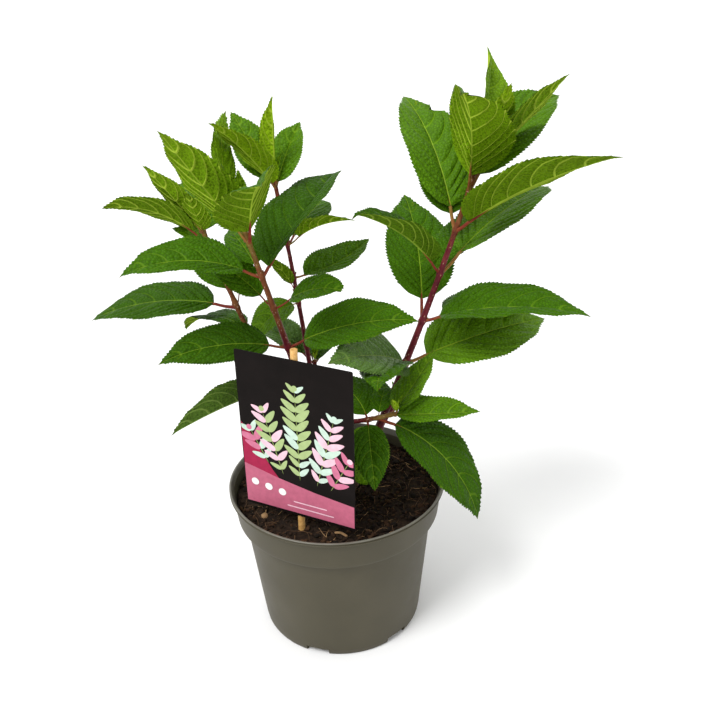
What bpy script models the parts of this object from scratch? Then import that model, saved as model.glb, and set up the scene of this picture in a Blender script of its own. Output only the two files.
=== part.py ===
"""A young panicle hydrangea in its nursery pot, with a bare-wood base, leaning stems and a plant label.

Metres, +Z up. The origin is the centre of the pot's flat underside and the label side faces -Y.
Azimuths are degrees about +Z from +X, rises are degrees above level, and the growth plan is in millimetres.
Each shoot bears its leaves in whorls of about three. A leaf's stalk leaves the shoot at the leaf's azimuth
and rise, and the blade then droops, rolls about its rib and swings sideways by the angles of the plan.
"""

import math
import random
from typing import NamedTuple

import bmesh
import bpy
import numpy as np
from mathutils import Matrix, Vector

MM = 0.001
GAP = 0.3 * MM  # air between neighbouring solids

# Pot
POT_HEIGHT = 0.140
POT_WALL = 0.0016
BASE_RADIUS = 0.0722
NECK_RADIUS = 0.0838  # body just under the collar
COLLAR_RADIUS = 0.0896
COLLAR_TOP_RADIUS = 0.0925
LIP_RADIUS = 0.0950
COLLAR_BOTTOM = 0.1110
LIP_BOTTOM = 0.1363
POT_SEGMENTS = 60
NOTCHES = 6
NOTCH_WIDTH = 0.020
NOTCH_HEIGHT = 0.006
NOTCH_DEPTH = 0.007  # inwards from the foot's edge
FIRST_NOTCH = -110.0  # azimuth of one drain notch

# Soil
SOIL_TOP = 0.128
SOIL_RELIEF = 0.0015
SOIL_EDGE_DROP = 0.0015  # how far it has sunk at the pot's wall
UNEVEN_RINGS = (0.078, 0.062, 0.046)  # radii, round a level patch for the trunk
LEVEL_RADIUS = 0.030
SOIL_SEGMENTS = 30

# Label card and the bamboo stick behind it
CARD_WIDTH = 0.0992
CARD_HEIGHT = 0.1430
CARD_THICKNESS = 0.0008
CARD_CENTRE = Vector((-0.0302, -0.0628, 0.2153))
CARD_YAW = math.radians(-27.3)
CARD_ROLL = math.radians(1.6)  # top towards +X
CARD_LEAN = math.radians(1.15)  # top towards the viewer
CARD_CORNER = 0.003
STICK_RADIUS = 0.0029
STICK_SIDES = 10
STICK_HOLE_CLEARANCE = 0.0005
STICK_ABOVE_CARD = 0.007
STICK_BELOW_CARD = 0.064
STICK_TOP_OFFSET = 0.0004  # stick's axis right of the card's middle
STICK_FOOT_OFFSET = -0.0018

# Wood
FLARE_RADIUS = 0.0200
FLARE_HEIGHT = 0.016
FLARE_STEPS = ((1.10, -0.25), (0.86, 0.30), (0.66, 0.70), (0.40, 1.00))  # shares of its radius and height
FLARE_CENTRE = (-0.002, 0.003, 0.0)
STUB_SWELLING = 0.5  # how much thicker the trunk's stubs are at their foot
STUB_START = -0.03  # place on a shoot, a little below the soil's top
STEM_SIDES = 8
STEM_STEPS = 6
TWIG_SIDES = 6
TWIG_STEPS = 4

# Leaves
LEAF_THICKNESS = 0.0125  # share of the blade's length
LEAF_STATIONS = 8
END_CROWDING = 0.3  # how much closer together the stations lie at a blade's ends
BLADE_BASE_POWER = 0.55
BLADE_TIP_POWER = 0.95
BLADE_BASE_HALF = 0.0016  # half widths that the blade keeps at its ends
BLADE_TIP_HALF = 0.0004
STALK_RADIUS = 0.0010
STALK_SIDES = 4
STALK_FLARE = 1.3  # how much thicker a stalk is where it leaves the shoot
FLARE_SHARE = 0.6  # share of the stalk over which it thins
RIB_SINK = 0.4  # how far the rib's axis lies under the blade, in stalk radii
RIB_SHARE = 0.16  # part of the blade that the stalk runs under
BUD_LENGTH = 20  # millimetres
BUD_DROP = 0.004  # how far below a shoot's tip its bud leaves spring, share of the shoot
BUD_RISES = (58, 76)
GOLDEN_ANGLE = 137.5


class Stem(NamedTuple):
    """A shoot from foot to tip, bowed sideways in the middle, millimetres."""

    foot: tuple
    tip: tuple
    bow: tuple
    foot_radius: float
    tip_radius: float


class Leaf(NamedTuple):
    """A leaf where its stalk leaves the shoot; length and stalk in millimetres, width a share of length."""

    azimuth: float
    rise: float
    length: float
    droop: float = 25
    roll: float = 0
    width: float = 0.52
    fold: float = 10
    stalk: float = 15
    swing: float = 0


class Whorl(NamedTuple):
    """Leaves that spring from one joint of a shoot, placed along it from 0 at its foot to 1 at its tip."""

    place: float
    leaves: tuple


class Mass(NamedTuple):
    """The foliage on one stretch of a shoot."""

    stem: str
    start: float
    end: float
    whorls: tuple
    buds: int = 0


STEMS = {
    "front_left": Stem((-1, 0, 128), (-59, -33, 381), (1, 3, 0), 3.6, 1.7),
    "left": Stem((-14, 5, 128), (-98, 29, 364), (-2, 2, 0), 3.2, 1.5),
    "back": Stem((-8, 11, 128), (-38, 43, 396), (2, 0, 0), 2.6, 1.3),
    "right": Stem((13, 0, 128), (122, 17, 412), (5, 0, 0), 3.6, 1.7),
    "front_right": Stem((-14.6, -9.8, 203), (51, -36, 221), (-2, -2, -3), 2.4, 1.6),
    "low_left": Stem((-49.9, 16, 213), (-63, 18, 219), (0, 0, 0), 1.8, 1.3),
    "low_back": Stem((-16, 26.6, 222), (-14, 33, 238), (0, 0, 0), 1.8, 1.3),
    "low_right": Stem((39.8, 7, 182), (58, 32, 196), (0, 0, 0), 1.8, 1.3),
}

MASSES = {
    "right_lower_foliage": Mass("right", 0.385, 0.610, (
        Whorl(0.41, (
            Leaf(18, 12, 130, 20, 20, stalk=20, swing=15),
            Leaf(230, 35, 95, 30, -35, stalk=5, swing=-10),
            Leaf(236, 22, 78, 25, 5, stalk=10, swing=30),
        )),
        Whorl(0.54, (
            Leaf(85, 45, 115, 20, 10, stalk=20, swing=15),
            Leaf(348, 17, 122, 30, 5, fold=15),
            Leaf(30, 0, 95, 20, stalk=25),
        )),
    )),
    "right_upper_foliage": Mass("right", 0.610, 0.860, (
        Whorl(0.68, (
            Leaf(206, 53, 85, 35, fold=30, swing=-7),
            Leaf(30, 35, 125, 40, -5, stalk=25, swing=20),
            Leaf(60, 30, 65, 20),
        )),
        Whorl(0.80, (
            Leaf(109, 63, 118, 45, 5, fold=15, stalk=20),
            Leaf(325, 38, 130, 20, -20, fold=15, swing=-5),
            Leaf(100, 50, 85, 15),
        )),
    )),
    "right_top_foliage": Mass("right", 0.860, 1.0, (
        Whorl(0.91, (
            Leaf(264, 62, 102, 32, -25, width=0.60, fold=30, swing=-20),
            Leaf(36, 48, 108, 40, 20, fold=20),
        )),
        Whorl(0.96, (
            Leaf(342, 48, 88, 0, -20, stalk=10),
            Leaf(65, 50, 105, 5, 60, width=0.45, fold=30, stalk=10, swing=20),
            Leaf(300, 56, 72, -15, fold=5, stalk=5),
        )),
    ), 2),
    "front_left_lower_foliage": Mass("front_left", 0.530, 0.780, (
        Whorl(0.58, (
            Leaf(187, 14, 88, 30, -30, width=0.44, swing=15),
            Leaf(349, 27, 94, 30, 23),
        )),
        Whorl(0.72, (
            Leaf(330, 35, 55, 40, 25, stalk=20, swing=-10),
            Leaf(150, 40, 55, 25, -25),
        )),
    )),
    "front_left_upper_foliage": Mass("front_left", 0.780, 0.905, (
        Whorl(0.83, (
            Leaf(190, 27, 92, 48, -15, fold=15),
            Leaf(46, 40, 126, 35, -15, fold=25, stalk=10, swing=28),
            Leaf(115, 25, 55, 20),
        )),
    )),
    "front_left_top_foliage": Mass("front_left", 0.905, 1.0, (
        Whorl(0.94, (
            Leaf(282, 52, 101, 41, 28, fold=20),
            Leaf(209, 57, 88, 0, 30, fold=15, stalk=16),
        )),
        Whorl(0.98, (
            Leaf(116, 37, 104, 0, 60, width=0.30, fold=5, swing=-38),
            Leaf(200, 75, 55, 0, width=0.35, stalk=5),
            Leaf(170, 65, 60, 0, width=0.35, stalk=5),
            Leaf(75, 85, 40, -15, width=0.35, stalk=5),
        )),
    ), 2),
    "left_lower_foliage": Mass("left", 0.610, 0.880, (
        Whorl(0.62, (
            Leaf(145, 25, 75, 75, 10, width=0.55, fold=5, stalk=5),
        )),
        Whorl(0.71, (
            Leaf(169, 8, 112, 33, -10, fold=5, stalk=20, swing=5),
            Leaf(80, 45, 42, 10, -15),
        )),
        Whorl(0.73, (
            Leaf(120, 30, 75, 20),
        )),
    )),
    "left_top_foliage": Mass("left", 0.880, 1.0, (
        Whorl(0.94, (
            Leaf(178, 42, 75, 50, 40),
            Leaf(105, 30, 80, 20),
            Leaf(155, 25, 30, 20, -15, stalk=5),
        )),
        Whorl(0.97, (
            Leaf(202, 58, 62, 5, 35, stalk=10, swing=-10),
            Leaf(250, 60, 40, 0, 5, stalk=5, swing=10),
        )),
    ), 2),
    "back_lower_foliage": Mass("back", 0.610, 0.880, (
        Whorl(0.62, (
            Leaf(205, -5, 50, 60, -10, width=0.70, stalk=5),
        )),
        Whorl(0.65, (
            Leaf(210, 65, 35, 25, 45, width=0.35, stalk=10),
        )),
        Whorl(0.70, (
            Leaf(30, 0, 75, -25, 10, fold=20, stalk=10, swing=15),
        )),
        Whorl(0.80, (
            Leaf(326, 37, 55, 35, -20, fold=20, swing=12),
            Leaf(70, 15, 80, 15),
        )),
    )),
    "back_top_foliage": Mass("back", 0.880, 1.0, (
        Whorl(0.95, (
            Leaf(100, 30, 55, 25),
        )),
        Whorl(0.97, (
            Leaf(215, 56, 75, 20, 15, width=0.45, fold=15, stalk=6, swing=5),
            Leaf(130, 48, 68, 5, -15, stalk=9),
            Leaf(295, 90, 63, 10, 20, width=0.35, fold=40, stalk=10, swing=5),
            Leaf(60, 56, 57, 20, 15, fold=20, stalk=6),
        )),
    ), 2),
    "front_right_foliage": Mass("front_right", 0.550, 1.0, (
        Whorl(0.67, (
            Leaf(105, 25, 70, 40, -10, fold=5, stalk=5, swing=40),
            Leaf(260, -45, 60, 80, -10, width=0.60, stalk=5, swing=20),
            Leaf(270, -30, 55, 45, 10, stalk=5, swing=10),
        )),
        Whorl(0.79, (
            Leaf(345, -20, 110, 55, 10, fold=5, swing=-20),
            Leaf(75, 30, 35, 25, stalk=5),
        )),
        Whorl(0.93, (
            Leaf(35, 35, 60, -15, -5, stalk=5),
            Leaf(349, 3, 67, -5, 10, fold=20, stalk=5),
        )),
    ), 2),
    "low_left_foliage": Mass("low_left", 0.0, 1.0, (
        Whorl(0.80, (
            Leaf(235, 15, 90, 35, 50, fold=30, stalk=5, swing=-30),
            Leaf(100, 5, 55, 30, stalk=10),
        )),
    ), 1),
    "low_back_foliage": Mass("low_back", 0.0, 1.0, (
        Whorl(0.85, (
            Leaf(140, 30, 65, 45, -20, fold=35, swing=-15),
            Leaf(55, 25, 60, 40, -20, fold=15, stalk=5),
            Leaf(100, 5, 60, 30),
        )),
    ), 1),
    "low_right_foliage": Mass("low_right", 0.0, 1.0, (
        Whorl(0.75, (
            Leaf(85, -5, 65, 30),
            Leaf(30, -10, 60, 25),
        )),
    ), 1),
}

# Bare stretches of the shoots, from the trunk or a neighbouring bough up to the foliage
BOUGHS = {
    "front_left_bough": ("front_left", 0.085, 0.530),
    "left_bough": ("left", 0.090, 0.610),
    "back_bough": ("back", 0.080, 0.610),
    "right_bough": ("right", 0.075, 0.385),
    "front_right_bough": ("front_right", 0.0, 0.550),
}
TRUNK_BOUGHS = ("front_left_bough", "left_bough", "back_bough", "right_bough")


def remove_objects():
    """Start from an empty scene."""
    for thing in list(bpy.data.objects):
        bpy.data.objects.remove(thing, do_unlink=True)


def material(name, colour, roughness):
    """A plain finish for one kind of piece."""
    made = bpy.data.materials.new(name)
    made.use_nodes = True
    shader = made.node_tree.nodes["Principled BSDF"]
    shader.inputs["Base Color"].default_value = (*colour, 1.0)
    shader.inputs["Roughness"].default_value = roughness
    shader.inputs["Metallic"].default_value = 0.0
    return made


def add_object(name, points, faces, finish):
    """One mesh object from points and faces, with its normals facing out."""
    mesh = bpy.data.meshes.new(name)
    mesh.from_pydata([tuple(p) for p in points], [], [tuple(f) for f in faces])
    work = bmesh.new()
    work.from_mesh(mesh)
    bmesh.ops.recalc_face_normals(work, faces=work.faces)
    work.to_mesh(mesh)
    work.free()
    made = bpy.data.objects.new(name, mesh)
    bpy.context.scene.collection.objects.link(made)
    mesh.materials.append(finish)
    return made


def smooth_sides(thing, sharp_above=40):
    """Smooth shading on a round piece, with its edges kept sharp."""
    thing.data.shade_smooth()
    thing.data.set_sharp_from_angle(angle=math.radians(sharp_above))


def lathe(profile, segments):
    """Points and faces of a closed profile of (radius, height) turned about Z; its ends lie on the axis."""
    points = [(0.0, 0.0, profile[0][1])]
    rings = []
    for radius, height in profile[1:-1]:
        rings.append(len(points))
        for step in range(segments):
            angle = math.tau * step / segments
            points.append((radius * math.cos(angle), radius * math.sin(angle), height))
    last = len(points)
    points.append((0.0, 0.0, profile[-1][1]))
    faces = []
    for step in range(segments):
        nearby = (step + 1) % segments
        faces.append((0, rings[0] + step, rings[0] + nearby))
        for low, high in zip(rings, rings[1:]):
            faces.append((low + step, high + step, high + nearby, low + nearby))
        faces.append((rings[-1] + step, last, rings[-1] + nearby))
    return points, faces


def apply_boolean(target, operation, *, cutter=None, collection=None):
    """Boolean a mesh or a collection into the target and keep the result as its mesh."""
    modifier = target.modifiers.new("join", "BOOLEAN")
    modifier.operation = operation
    if collection:
        modifier.operand_type = "COLLECTION"
        modifier.collection = collection
    else:
        modifier.object = cutter
    graph = bpy.context.evaluated_depsgraph_get()
    joined = bpy.data.meshes.new_from_object(target.evaluated_get(graph))
    target.modifiers.remove(modifier)
    target.data = joined
    leftovers = list(collection.objects) if collection else [cutter]
    for thing in leftovers:
        bpy.data.objects.remove(thing, do_unlink=True)
    if collection:
        bpy.data.collections.remove(collection)


def heading(azimuth, rise):
    """Unit vector for an azimuth and a rise in degrees."""
    turn = math.radians(azimuth)
    lift = math.radians(rise)
    return np.array([math.cos(turn) * math.cos(lift), math.sin(turn) * math.cos(lift), math.sin(lift)])


def stem_point(stem, place):
    """Point on a shoot, from 0 at its foot to 1 at its tip, metres."""
    foot, tip, bow = (np.array(values, float) for values in (stem.foot, stem.tip, stem.bow))
    return (foot + (tip - foot) * place + bow * 4 * place * (1 - place)) * MM


def stem_radius(stem, place):
    """Radius of a shoot at a place along it, metres."""
    return (stem.foot_radius + (stem.tip_radius - stem.foot_radius) * place) * MM


def stem_direction(stem, place):
    """Unit vector along a shoot."""
    along = stem_point(stem, place + 0.01) - stem_point(stem, place - 0.01)
    return along / np.linalg.norm(along)


def tube(route, radii, sides):
    """Points and faces of a closed tube along a route."""
    points = []
    side = None
    for index, centre in enumerate(route):
        ahead = route[min(index + 1, len(route) - 1)] - route[max(index - 1, 0)]
        ahead = ahead / np.linalg.norm(ahead)
        if side is None:
            side = np.cross(ahead, (0.3, 0.9, 0.2))  # no route runs along this
        side = side - ahead * np.dot(side, ahead)
        side = side / np.linalg.norm(side)
        across = np.cross(ahead, side)
        for step in range(sides):
            angle = math.tau * step / sides
            points.append(centre + radii[index] * (side * math.cos(angle) + across * math.sin(angle)))
    faces = [tuple(range(sides))]
    for ring in range(len(route) - 1):
        for step in range(sides):
            nearby = (step + 1) % sides
            low = ring * sides
            high = low + sides
            faces.append((low + step, high + step, high + nearby, low + nearby))
    last = (len(route) - 1) * sides
    faces.append(tuple(last + step for step in range(sides)))
    return points, faces


def stem_piece(name, stem, start, end, sides, steps, finish):
    """A stretch of a shoot, with the gap left at its start."""
    places = np.linspace(start, end, steps + 1)
    route = [stem_point(stem, place) for place in places]
    route[0] = route[0] + stem_direction(stem, start) * GAP
    radii = [stem_radius(stem, place) for place in places]
    points, faces = tube(route, radii, sides)
    return add_object(name, points, faces, finish)


def blade_share(t):
    """Half width of a blade as a share of its greatest, from 0 at its base to 1 at its tip."""
    peak = BLADE_BASE_POWER / (BLADE_BASE_POWER + BLADE_TIP_POWER)
    greatest = peak**BLADE_BASE_POWER * (1 - peak) ** BLADE_TIP_POWER
    return t**BLADE_BASE_POWER * (1 - t) ** BLADE_TIP_POWER / greatest


def blade_frames(foot, leaf):
    """Place, middle point, sideways and upward vectors at each station of a blade, closer at its ends."""
    middle = foot + heading(leaf.azimuth, leaf.rise) * leaf.stalk * MM
    frames = []
    before = 0.0
    for station in range(LEAF_STATIONS + 1):
        share = station / LEAF_STATIONS
        eased = 0.5 - 0.5 * math.cos(math.pi * share)
        t = share + (eased - share) * END_CROWDING
        half = (t + before) / 2
        step = heading(leaf.azimuth + leaf.swing * half, leaf.rise - leaf.droop * half)
        middle = middle + step * leaf.length * MM * (t - before)
        before = t
        along = heading(leaf.azimuth + leaf.swing * t, leaf.rise - leaf.droop * t)
        turn = math.radians(leaf.azimuth + leaf.swing * t)
        level = np.array([math.sin(turn), -math.cos(turn), 0.0])
        upward = np.cross(level, along)
        tilt = math.radians(leaf.roll)
        sideways = level * math.cos(tilt) - upward * math.sin(tilt)
        raised = level * math.sin(tilt) + upward * math.cos(tilt)
        frames.append((t, middle, sideways, raised))
    return frames


def blade_solid(foot, leaf):
    """Points and faces of a blade folded along its rib, of even thickness."""
    fold = math.radians(leaf.fold)
    half_thickness = LEAF_THICKNESS * leaf.length * MM / 2
    points = []
    for t, middle, sideways, raised in blade_frames(foot, leaf):
        least = BLADE_BASE_HALF + (BLADE_TIP_HALF - BLADE_BASE_HALF) * t
        half = max(0.5 * leaf.width * leaf.length * MM * blade_share(t), least)
        spread = sideways * half * math.cos(fold)
        lift = raised * half * math.sin(fold)
        lift_out = raised * half_thickness
        row = [middle - spread + lift, middle, middle + spread + lift]
        points.extend(point + lift_out for point in row)
        points.extend(point - lift_out for point in reversed(row))
    ring = 6
    faces = [tuple(reversed(range(ring)))]
    for station in range(LEAF_STATIONS):
        low = station * ring
        high = low + ring
        for step in range(ring):
            nearby = (step + 1) % ring
            faces.append((low + step, low + nearby, high + nearby, high + step))
    last = LEAF_STATIONS * ring
    faces.append(tuple(last + step for step in range(ring)))
    return points, faces


def stalk_solid(foot, leaf):
    """Points and faces of a leaf stalk that runs on under the blade as its rib."""
    start = heading(leaf.azimuth, leaf.rise)
    route = [foot, foot + start * leaf.stalk * MM * FLARE_SHARE]
    radii = [STALK_RADIUS * STALK_FLARE, STALK_RADIUS]
    for t, middle, _, raised in blade_frames(foot, leaf):
        if t <= RIB_SHARE:
            route.append(middle - raised * STALK_RADIUS * RIB_SINK)
            radii.append(STALK_RADIUS)
    return tube(route, radii, STALK_SIDES)


def bud_leaves(seed, count):
    """Small unfolding leaves at a shoot's tip, turned by the golden angle from a seeded start."""
    draw = random.Random(seed)
    first = draw.uniform(0, 360)
    leaves = []
    for index in range(count):
        azimuth = first + GOLDEN_ANGLE * index
        rise = draw.uniform(*BUD_RISES)
        length = BUD_LENGTH * draw.uniform(0.7, 1.0)
        leaves.append(Leaf(azimuth, rise, length, droop=0, width=0.35, fold=30, stalk=3))
    return tuple(leaves)


def foliage(name, mass, wood, green):
    """One mass: its stretch of shoot with every leaf on it, fused."""
    stem = STEMS[mass.stem]
    shoot = stem_piece(name, stem, mass.start, mass.end, TWIG_SIDES, TWIG_STEPS, wood)
    group = bpy.data.collections.new(name + "_leaves")
    bpy.context.scene.collection.children.link(group)
    whorls = mass.whorls
    if mass.buds:
        whorls = whorls + (Whorl(mass.end - BUD_DROP, bud_leaves(name, mass.buds)),)
    for whorl in whorls:
        foot = stem_point(stem, whorl.place)
        for leaf in whorl.leaves:
            for points, faces in (stalk_solid(foot, leaf), blade_solid(foot, leaf)):
                piece = add_object("leaf", points, faces, green)
                bpy.context.scene.collection.objects.unlink(piece)
                group.objects.link(piece)
    apply_boolean(shoot, "UNION", collection=group)
    shoot.data.materials.clear()
    shoot.data.materials.append(green)


def trunk(finish):
    """The short woody base: a flared foot and the stubs that the boughs go on from, cut flat below."""
    flare = [(FLARE_RADIUS * out, SOIL_TOP + FLARE_HEIGHT * up) for out, up in FLARE_STEPS]
    foot, crest = (0.0, flare[0][1]), (0.0, flare[-1][1] + MM)
    points, faces = lathe([foot, *flare, crest], 2 * STEM_SIDES)
    base = add_object("trunk", points, faces, finish)
    base.data.transform(Matrix.Translation(FLARE_CENTRE))
    group = bpy.data.collections.new("trunk_stubs")
    bpy.context.scene.collection.children.link(group)
    for bough in TRUNK_BOUGHS:
        key, start, _ = BOUGHS[bough]
        stem = STEMS[key]
        places = np.linspace(STUB_START, start, TWIG_STEPS + 1)
        route = [stem_point(stem, place) for place in places]
        swelling = 1 + STUB_SWELLING * (1 - places / start)
        radii = [stem_radius(stem, place) * more for place, more in zip(places, swelling)]
        points, faces = tube(route, radii, STEM_SIDES)
        stub = add_object("stub", points, faces, finish)
        bpy.context.scene.collection.objects.unlink(stub)
        group.objects.link(stub)
    apply_boolean(base, "UNION", collection=group)
    cut_flat(base, SOIL_TOP + GAP)
    smooth_sides(base)


def cut_flat(thing, height):
    """Cut away what lies below a level plane and close the cut."""
    work = bmesh.new()
    work.from_mesh(thing.data)
    everything = work.verts[:] + work.edges[:] + work.faces[:]
    level = {"plane_co": (0, 0, height), "plane_no": (0, 0, 1)}
    cut = bmesh.ops.bisect_plane(work, geom=everything, **level, clear_inner=True)
    edges = [part for part in cut["geom_cut"] if isinstance(part, bmesh.types.BMEdge)]
    bmesh.ops.edgeloop_fill(work, edges=edges)
    bmesh.ops.recalc_face_normals(work, faces=work.faces)
    work.to_mesh(thing.data)
    work.free()


def pot(finish):
    """The thin-walled pot: flat base, tapering body, collar and ridged lip, notched round its foot."""
    outer = [
        (BASE_RADIUS - 0.0022, 0.0),
        (BASE_RADIUS - 0.0006, 0.0006),
        (BASE_RADIUS, 0.0022),
        (NECK_RADIUS, COLLAR_BOTTOM - 0.0006),
        (COLLAR_RADIUS - 0.0006, COLLAR_BOTTOM),
        (COLLAR_RADIUS, COLLAR_BOTTOM + 0.0006),
        (COLLAR_TOP_RADIUS, LIP_BOTTOM),
        (LIP_RADIUS, LIP_BOTTOM + 0.0004),
        (LIP_RADIUS, LIP_BOTTOM + 0.0014),
        (LIP_RADIUS - 0.0006, LIP_BOTTOM + 0.0018),
        (LIP_RADIUS, LIP_BOTTOM + 0.0022),
        (LIP_RADIUS, POT_HEIGHT - 0.0003),
        (LIP_RADIUS - 0.0004, POT_HEIGHT),
    ]
    inner = [
        (LIP_RADIUS - POT_WALL, POT_HEIGHT),
        (COLLAR_TOP_RADIUS - POT_WALL, LIP_BOTTOM - 0.0010),
        (COLLAR_RADIUS - POT_WALL, COLLAR_BOTTOM + POT_WALL),
        (NECK_RADIUS - POT_WALL, COLLAR_BOTTOM),
        (BASE_RADIUS - POT_WALL, POT_WALL),
    ]
    points, faces = lathe([(0.0, 0.0), *outer, *inner, (0.0, POT_WALL)], POT_SEGMENTS)
    body = add_object("pot", points, faces, finish)
    for index in range(NOTCHES):
        angle = math.radians(FIRST_NOTCH + 360 / NOTCHES * index)
        bpy.ops.mesh.primitive_cube_add(size=1)
        cutter = bpy.context.object
        place = Matrix.Rotation(angle, 4, "Z") @ Matrix.Translation((BASE_RADIUS, 0, 0))
        cutter.data.transform(place @ Matrix.Diagonal((NOTCH_DEPTH * 2, NOTCH_WIDTH, NOTCH_HEIGHT * 2, 1)))
        apply_boolean(body, "DIFFERENCE", cutter=cutter)
    body.data.materials.clear()
    body.data.materials.append(finish)
    smooth_sides(body)


def soil(finish):
    """The compost that fills the pot, with an uneven top round a level patch for the trunk."""
    draw = random.Random(7)
    clear = POT_WALL + 2 * GAP
    edge = SOIL_TOP - SOIL_EDGE_DROP
    share = (edge - COLLAR_BOTTOM) / (LIP_BOTTOM - COLLAR_BOTTOM)
    edge_radius = COLLAR_RADIUS + (COLLAR_TOP_RADIUS - COLLAR_RADIUS) * share
    side = [
        (BASE_RADIUS - clear, POT_WALL + GAP),
        (NECK_RADIUS - clear, COLLAR_BOTTOM + GAP),
        (COLLAR_RADIUS - clear - GAP, COLLAR_BOTTOM + POT_WALL + 2 * GAP),
        (edge_radius - clear - GAP, edge),
    ]
    top = [(radius, SOIL_TOP) for radius in (*UNEVEN_RINGS, LEVEL_RADIUS)]
    points, faces = lathe([(0.0, POT_WALL + GAP), *side, *top, (0.0, SOIL_TOP)], SOIL_SEGMENTS)
    first_uneven = 1 + len(side) * SOIL_SEGMENTS
    for index in range(first_uneven, first_uneven + len(UNEVEN_RINGS) * SOIL_SEGMENTS):
        x, y, z = points[index]
        points[index] = (x, y, z + draw.uniform(-1, 0.6) * SOIL_RELIEF)
    made = add_object("soil", points, faces, finish)
    stick_foot, stick_top = stick_ends()
    hole_foot = stick_foot - (stick_top - stick_foot).normalized() * 2 * MM
    route = [np.array(hole_foot), np.array(stick_top)]
    points, faces = tube(route, [STICK_RADIUS + STICK_HOLE_CLEARANCE] * 2, STICK_SIDES)
    cutter = add_object("stick_hole", points, faces, finish)
    apply_boolean(made, "DIFFERENCE", cutter=cutter)
    made.data.materials.clear()
    made.data.materials.append(finish)


def card_matrix():
    """The card's own frame: X along its width, Z up it, Y through it."""
    turn = Matrix.Rotation(CARD_YAW, 4, "Z")
    tip = Matrix.Rotation(CARD_LEAN, 4, "X") @ Matrix.Rotation(CARD_ROLL, 4, "Y")
    return Matrix.Translation(CARD_CENTRE) @ turn @ tip


def stick_ends():
    """Lower and upper end of the stick's axis, just behind the card."""
    back = CARD_THICKNESS / 2 + GAP + STICK_RADIUS
    foot = Vector((STICK_FOOT_OFFSET, back, -CARD_HEIGHT / 2 - STICK_BELOW_CARD))
    top = Vector((STICK_TOP_OFFSET, back, CARD_HEIGHT / 2 + STICK_ABOVE_CARD))
    frame = card_matrix()
    return frame @ foot, frame @ top


def label_card(finish):
    """The printed card: a thin sheet with rounded corners."""
    half_width = CARD_WIDTH / 2 - CARD_CORNER
    half_height = CARD_HEIGHT / 2 - CARD_CORNER
    outline = []
    for quarter, (x, z) in enumerate(((1, 1), (-1, 1), (-1, -1), (1, -1))):
        for step in range(4):
            angle = math.radians(90 * quarter + 30 * step)
            across = x * half_width + CARD_CORNER * math.cos(angle)
            outline.append((across, z * half_height + CARD_CORNER * math.sin(angle)))
    count = len(outline)
    points = [(x, side * CARD_THICKNESS / 2, z) for side in (-1, 1) for x, z in outline]
    faces = [tuple(range(count)), tuple(range(2 * count - 1, count - 1, -1))]
    for step in range(count):
        nearby = (step + 1) % count
        faces.append((step, count + step, count + nearby, nearby))
    card = add_object("label_card", points, faces, finish)
    card.matrix_world = card_matrix()


def label_stick(finish):
    """The bamboo stick that holds the card."""
    foot, top = stick_ends()
    points, faces = tube([np.array(foot), np.array(top)], [STICK_RADIUS] * 2, STICK_SIDES)
    stick = add_object("label_stick", points, faces, finish)
    smooth_sides(stick)


def main():
    remove_objects()
    plastic = material("taupe_plastic", (0.112, 0.107, 0.080), 0.55)
    peat = material("peat", (0.020, 0.014, 0.010), 0.95)
    bark = material("young_bark", (0.110, 0.020, 0.022), 0.60)
    green = material("leaf_green", (0.060, 0.170, 0.020), 0.50)
    card = material("printed_card", (0.020, 0.014, 0.015), 0.45)
    bamboo = material("bamboo", (0.560, 0.350, 0.150), 0.60)
    pot(plastic)
    soil(peat)
    label_card(card)
    label_stick(bamboo)
    trunk(bark)
    for name, (key, start, end) in BOUGHS.items():
        smooth_sides(stem_piece(name, STEMS[key], start, end, STEM_SIDES, STEM_STEPS, bark))
    for name, mass in MASSES.items():
        foliage(name, mass, bark, green)


main()
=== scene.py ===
"""A young panicle hydrangea in its nursery pot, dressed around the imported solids.

Metres, +Z up. The origin is the centre of the pot's flat underside and the label side faces -Y.
The shoots and leaves follow the growth plan of the part's source: azimuths are degrees about +Z from +X,
rises are degrees above level, and the plan is in millimetres. Every piece is made of grids of points.
"""

import math
import random
from typing import NamedTuple

import bpy
import numpy as np
from mathutils import Matrix, Vector


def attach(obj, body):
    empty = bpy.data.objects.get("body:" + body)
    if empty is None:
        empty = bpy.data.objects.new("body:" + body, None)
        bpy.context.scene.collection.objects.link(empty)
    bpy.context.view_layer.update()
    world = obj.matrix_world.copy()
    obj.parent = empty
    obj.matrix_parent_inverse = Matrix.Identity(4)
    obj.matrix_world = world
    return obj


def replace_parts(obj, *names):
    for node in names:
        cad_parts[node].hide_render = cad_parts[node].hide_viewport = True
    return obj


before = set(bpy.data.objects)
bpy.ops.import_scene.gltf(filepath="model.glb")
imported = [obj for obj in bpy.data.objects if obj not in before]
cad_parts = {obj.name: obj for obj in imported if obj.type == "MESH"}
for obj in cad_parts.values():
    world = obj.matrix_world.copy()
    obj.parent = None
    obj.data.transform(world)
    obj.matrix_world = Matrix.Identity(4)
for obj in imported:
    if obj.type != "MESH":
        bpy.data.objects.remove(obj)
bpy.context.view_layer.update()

MM = 0.001
BAKE_MAP = "OFBake"
CELL_MARGIN = 0.04  # share of a map cell kept free round each grid
WOBBLE_WAVES = 7  # waves that a smooth noise is made of

# Pot
POT_HEIGHT = 0.140
POT_WALL = 0.0016
BASE_RADIUS = 0.0722
NECK_RADIUS = 0.0838
COLLAR_RADIUS = 0.0896
COLLAR_TOP_RADIUS = 0.0925
LIP_RADIUS = 0.0950
COLLAR_BOTTOM = 0.1110
LIP_BOTTOM = 0.1363
LIP_HIGHLIGHT_DEPTH = 0.0009  # the lip's top is painted paler this far down, as a highlight
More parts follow.
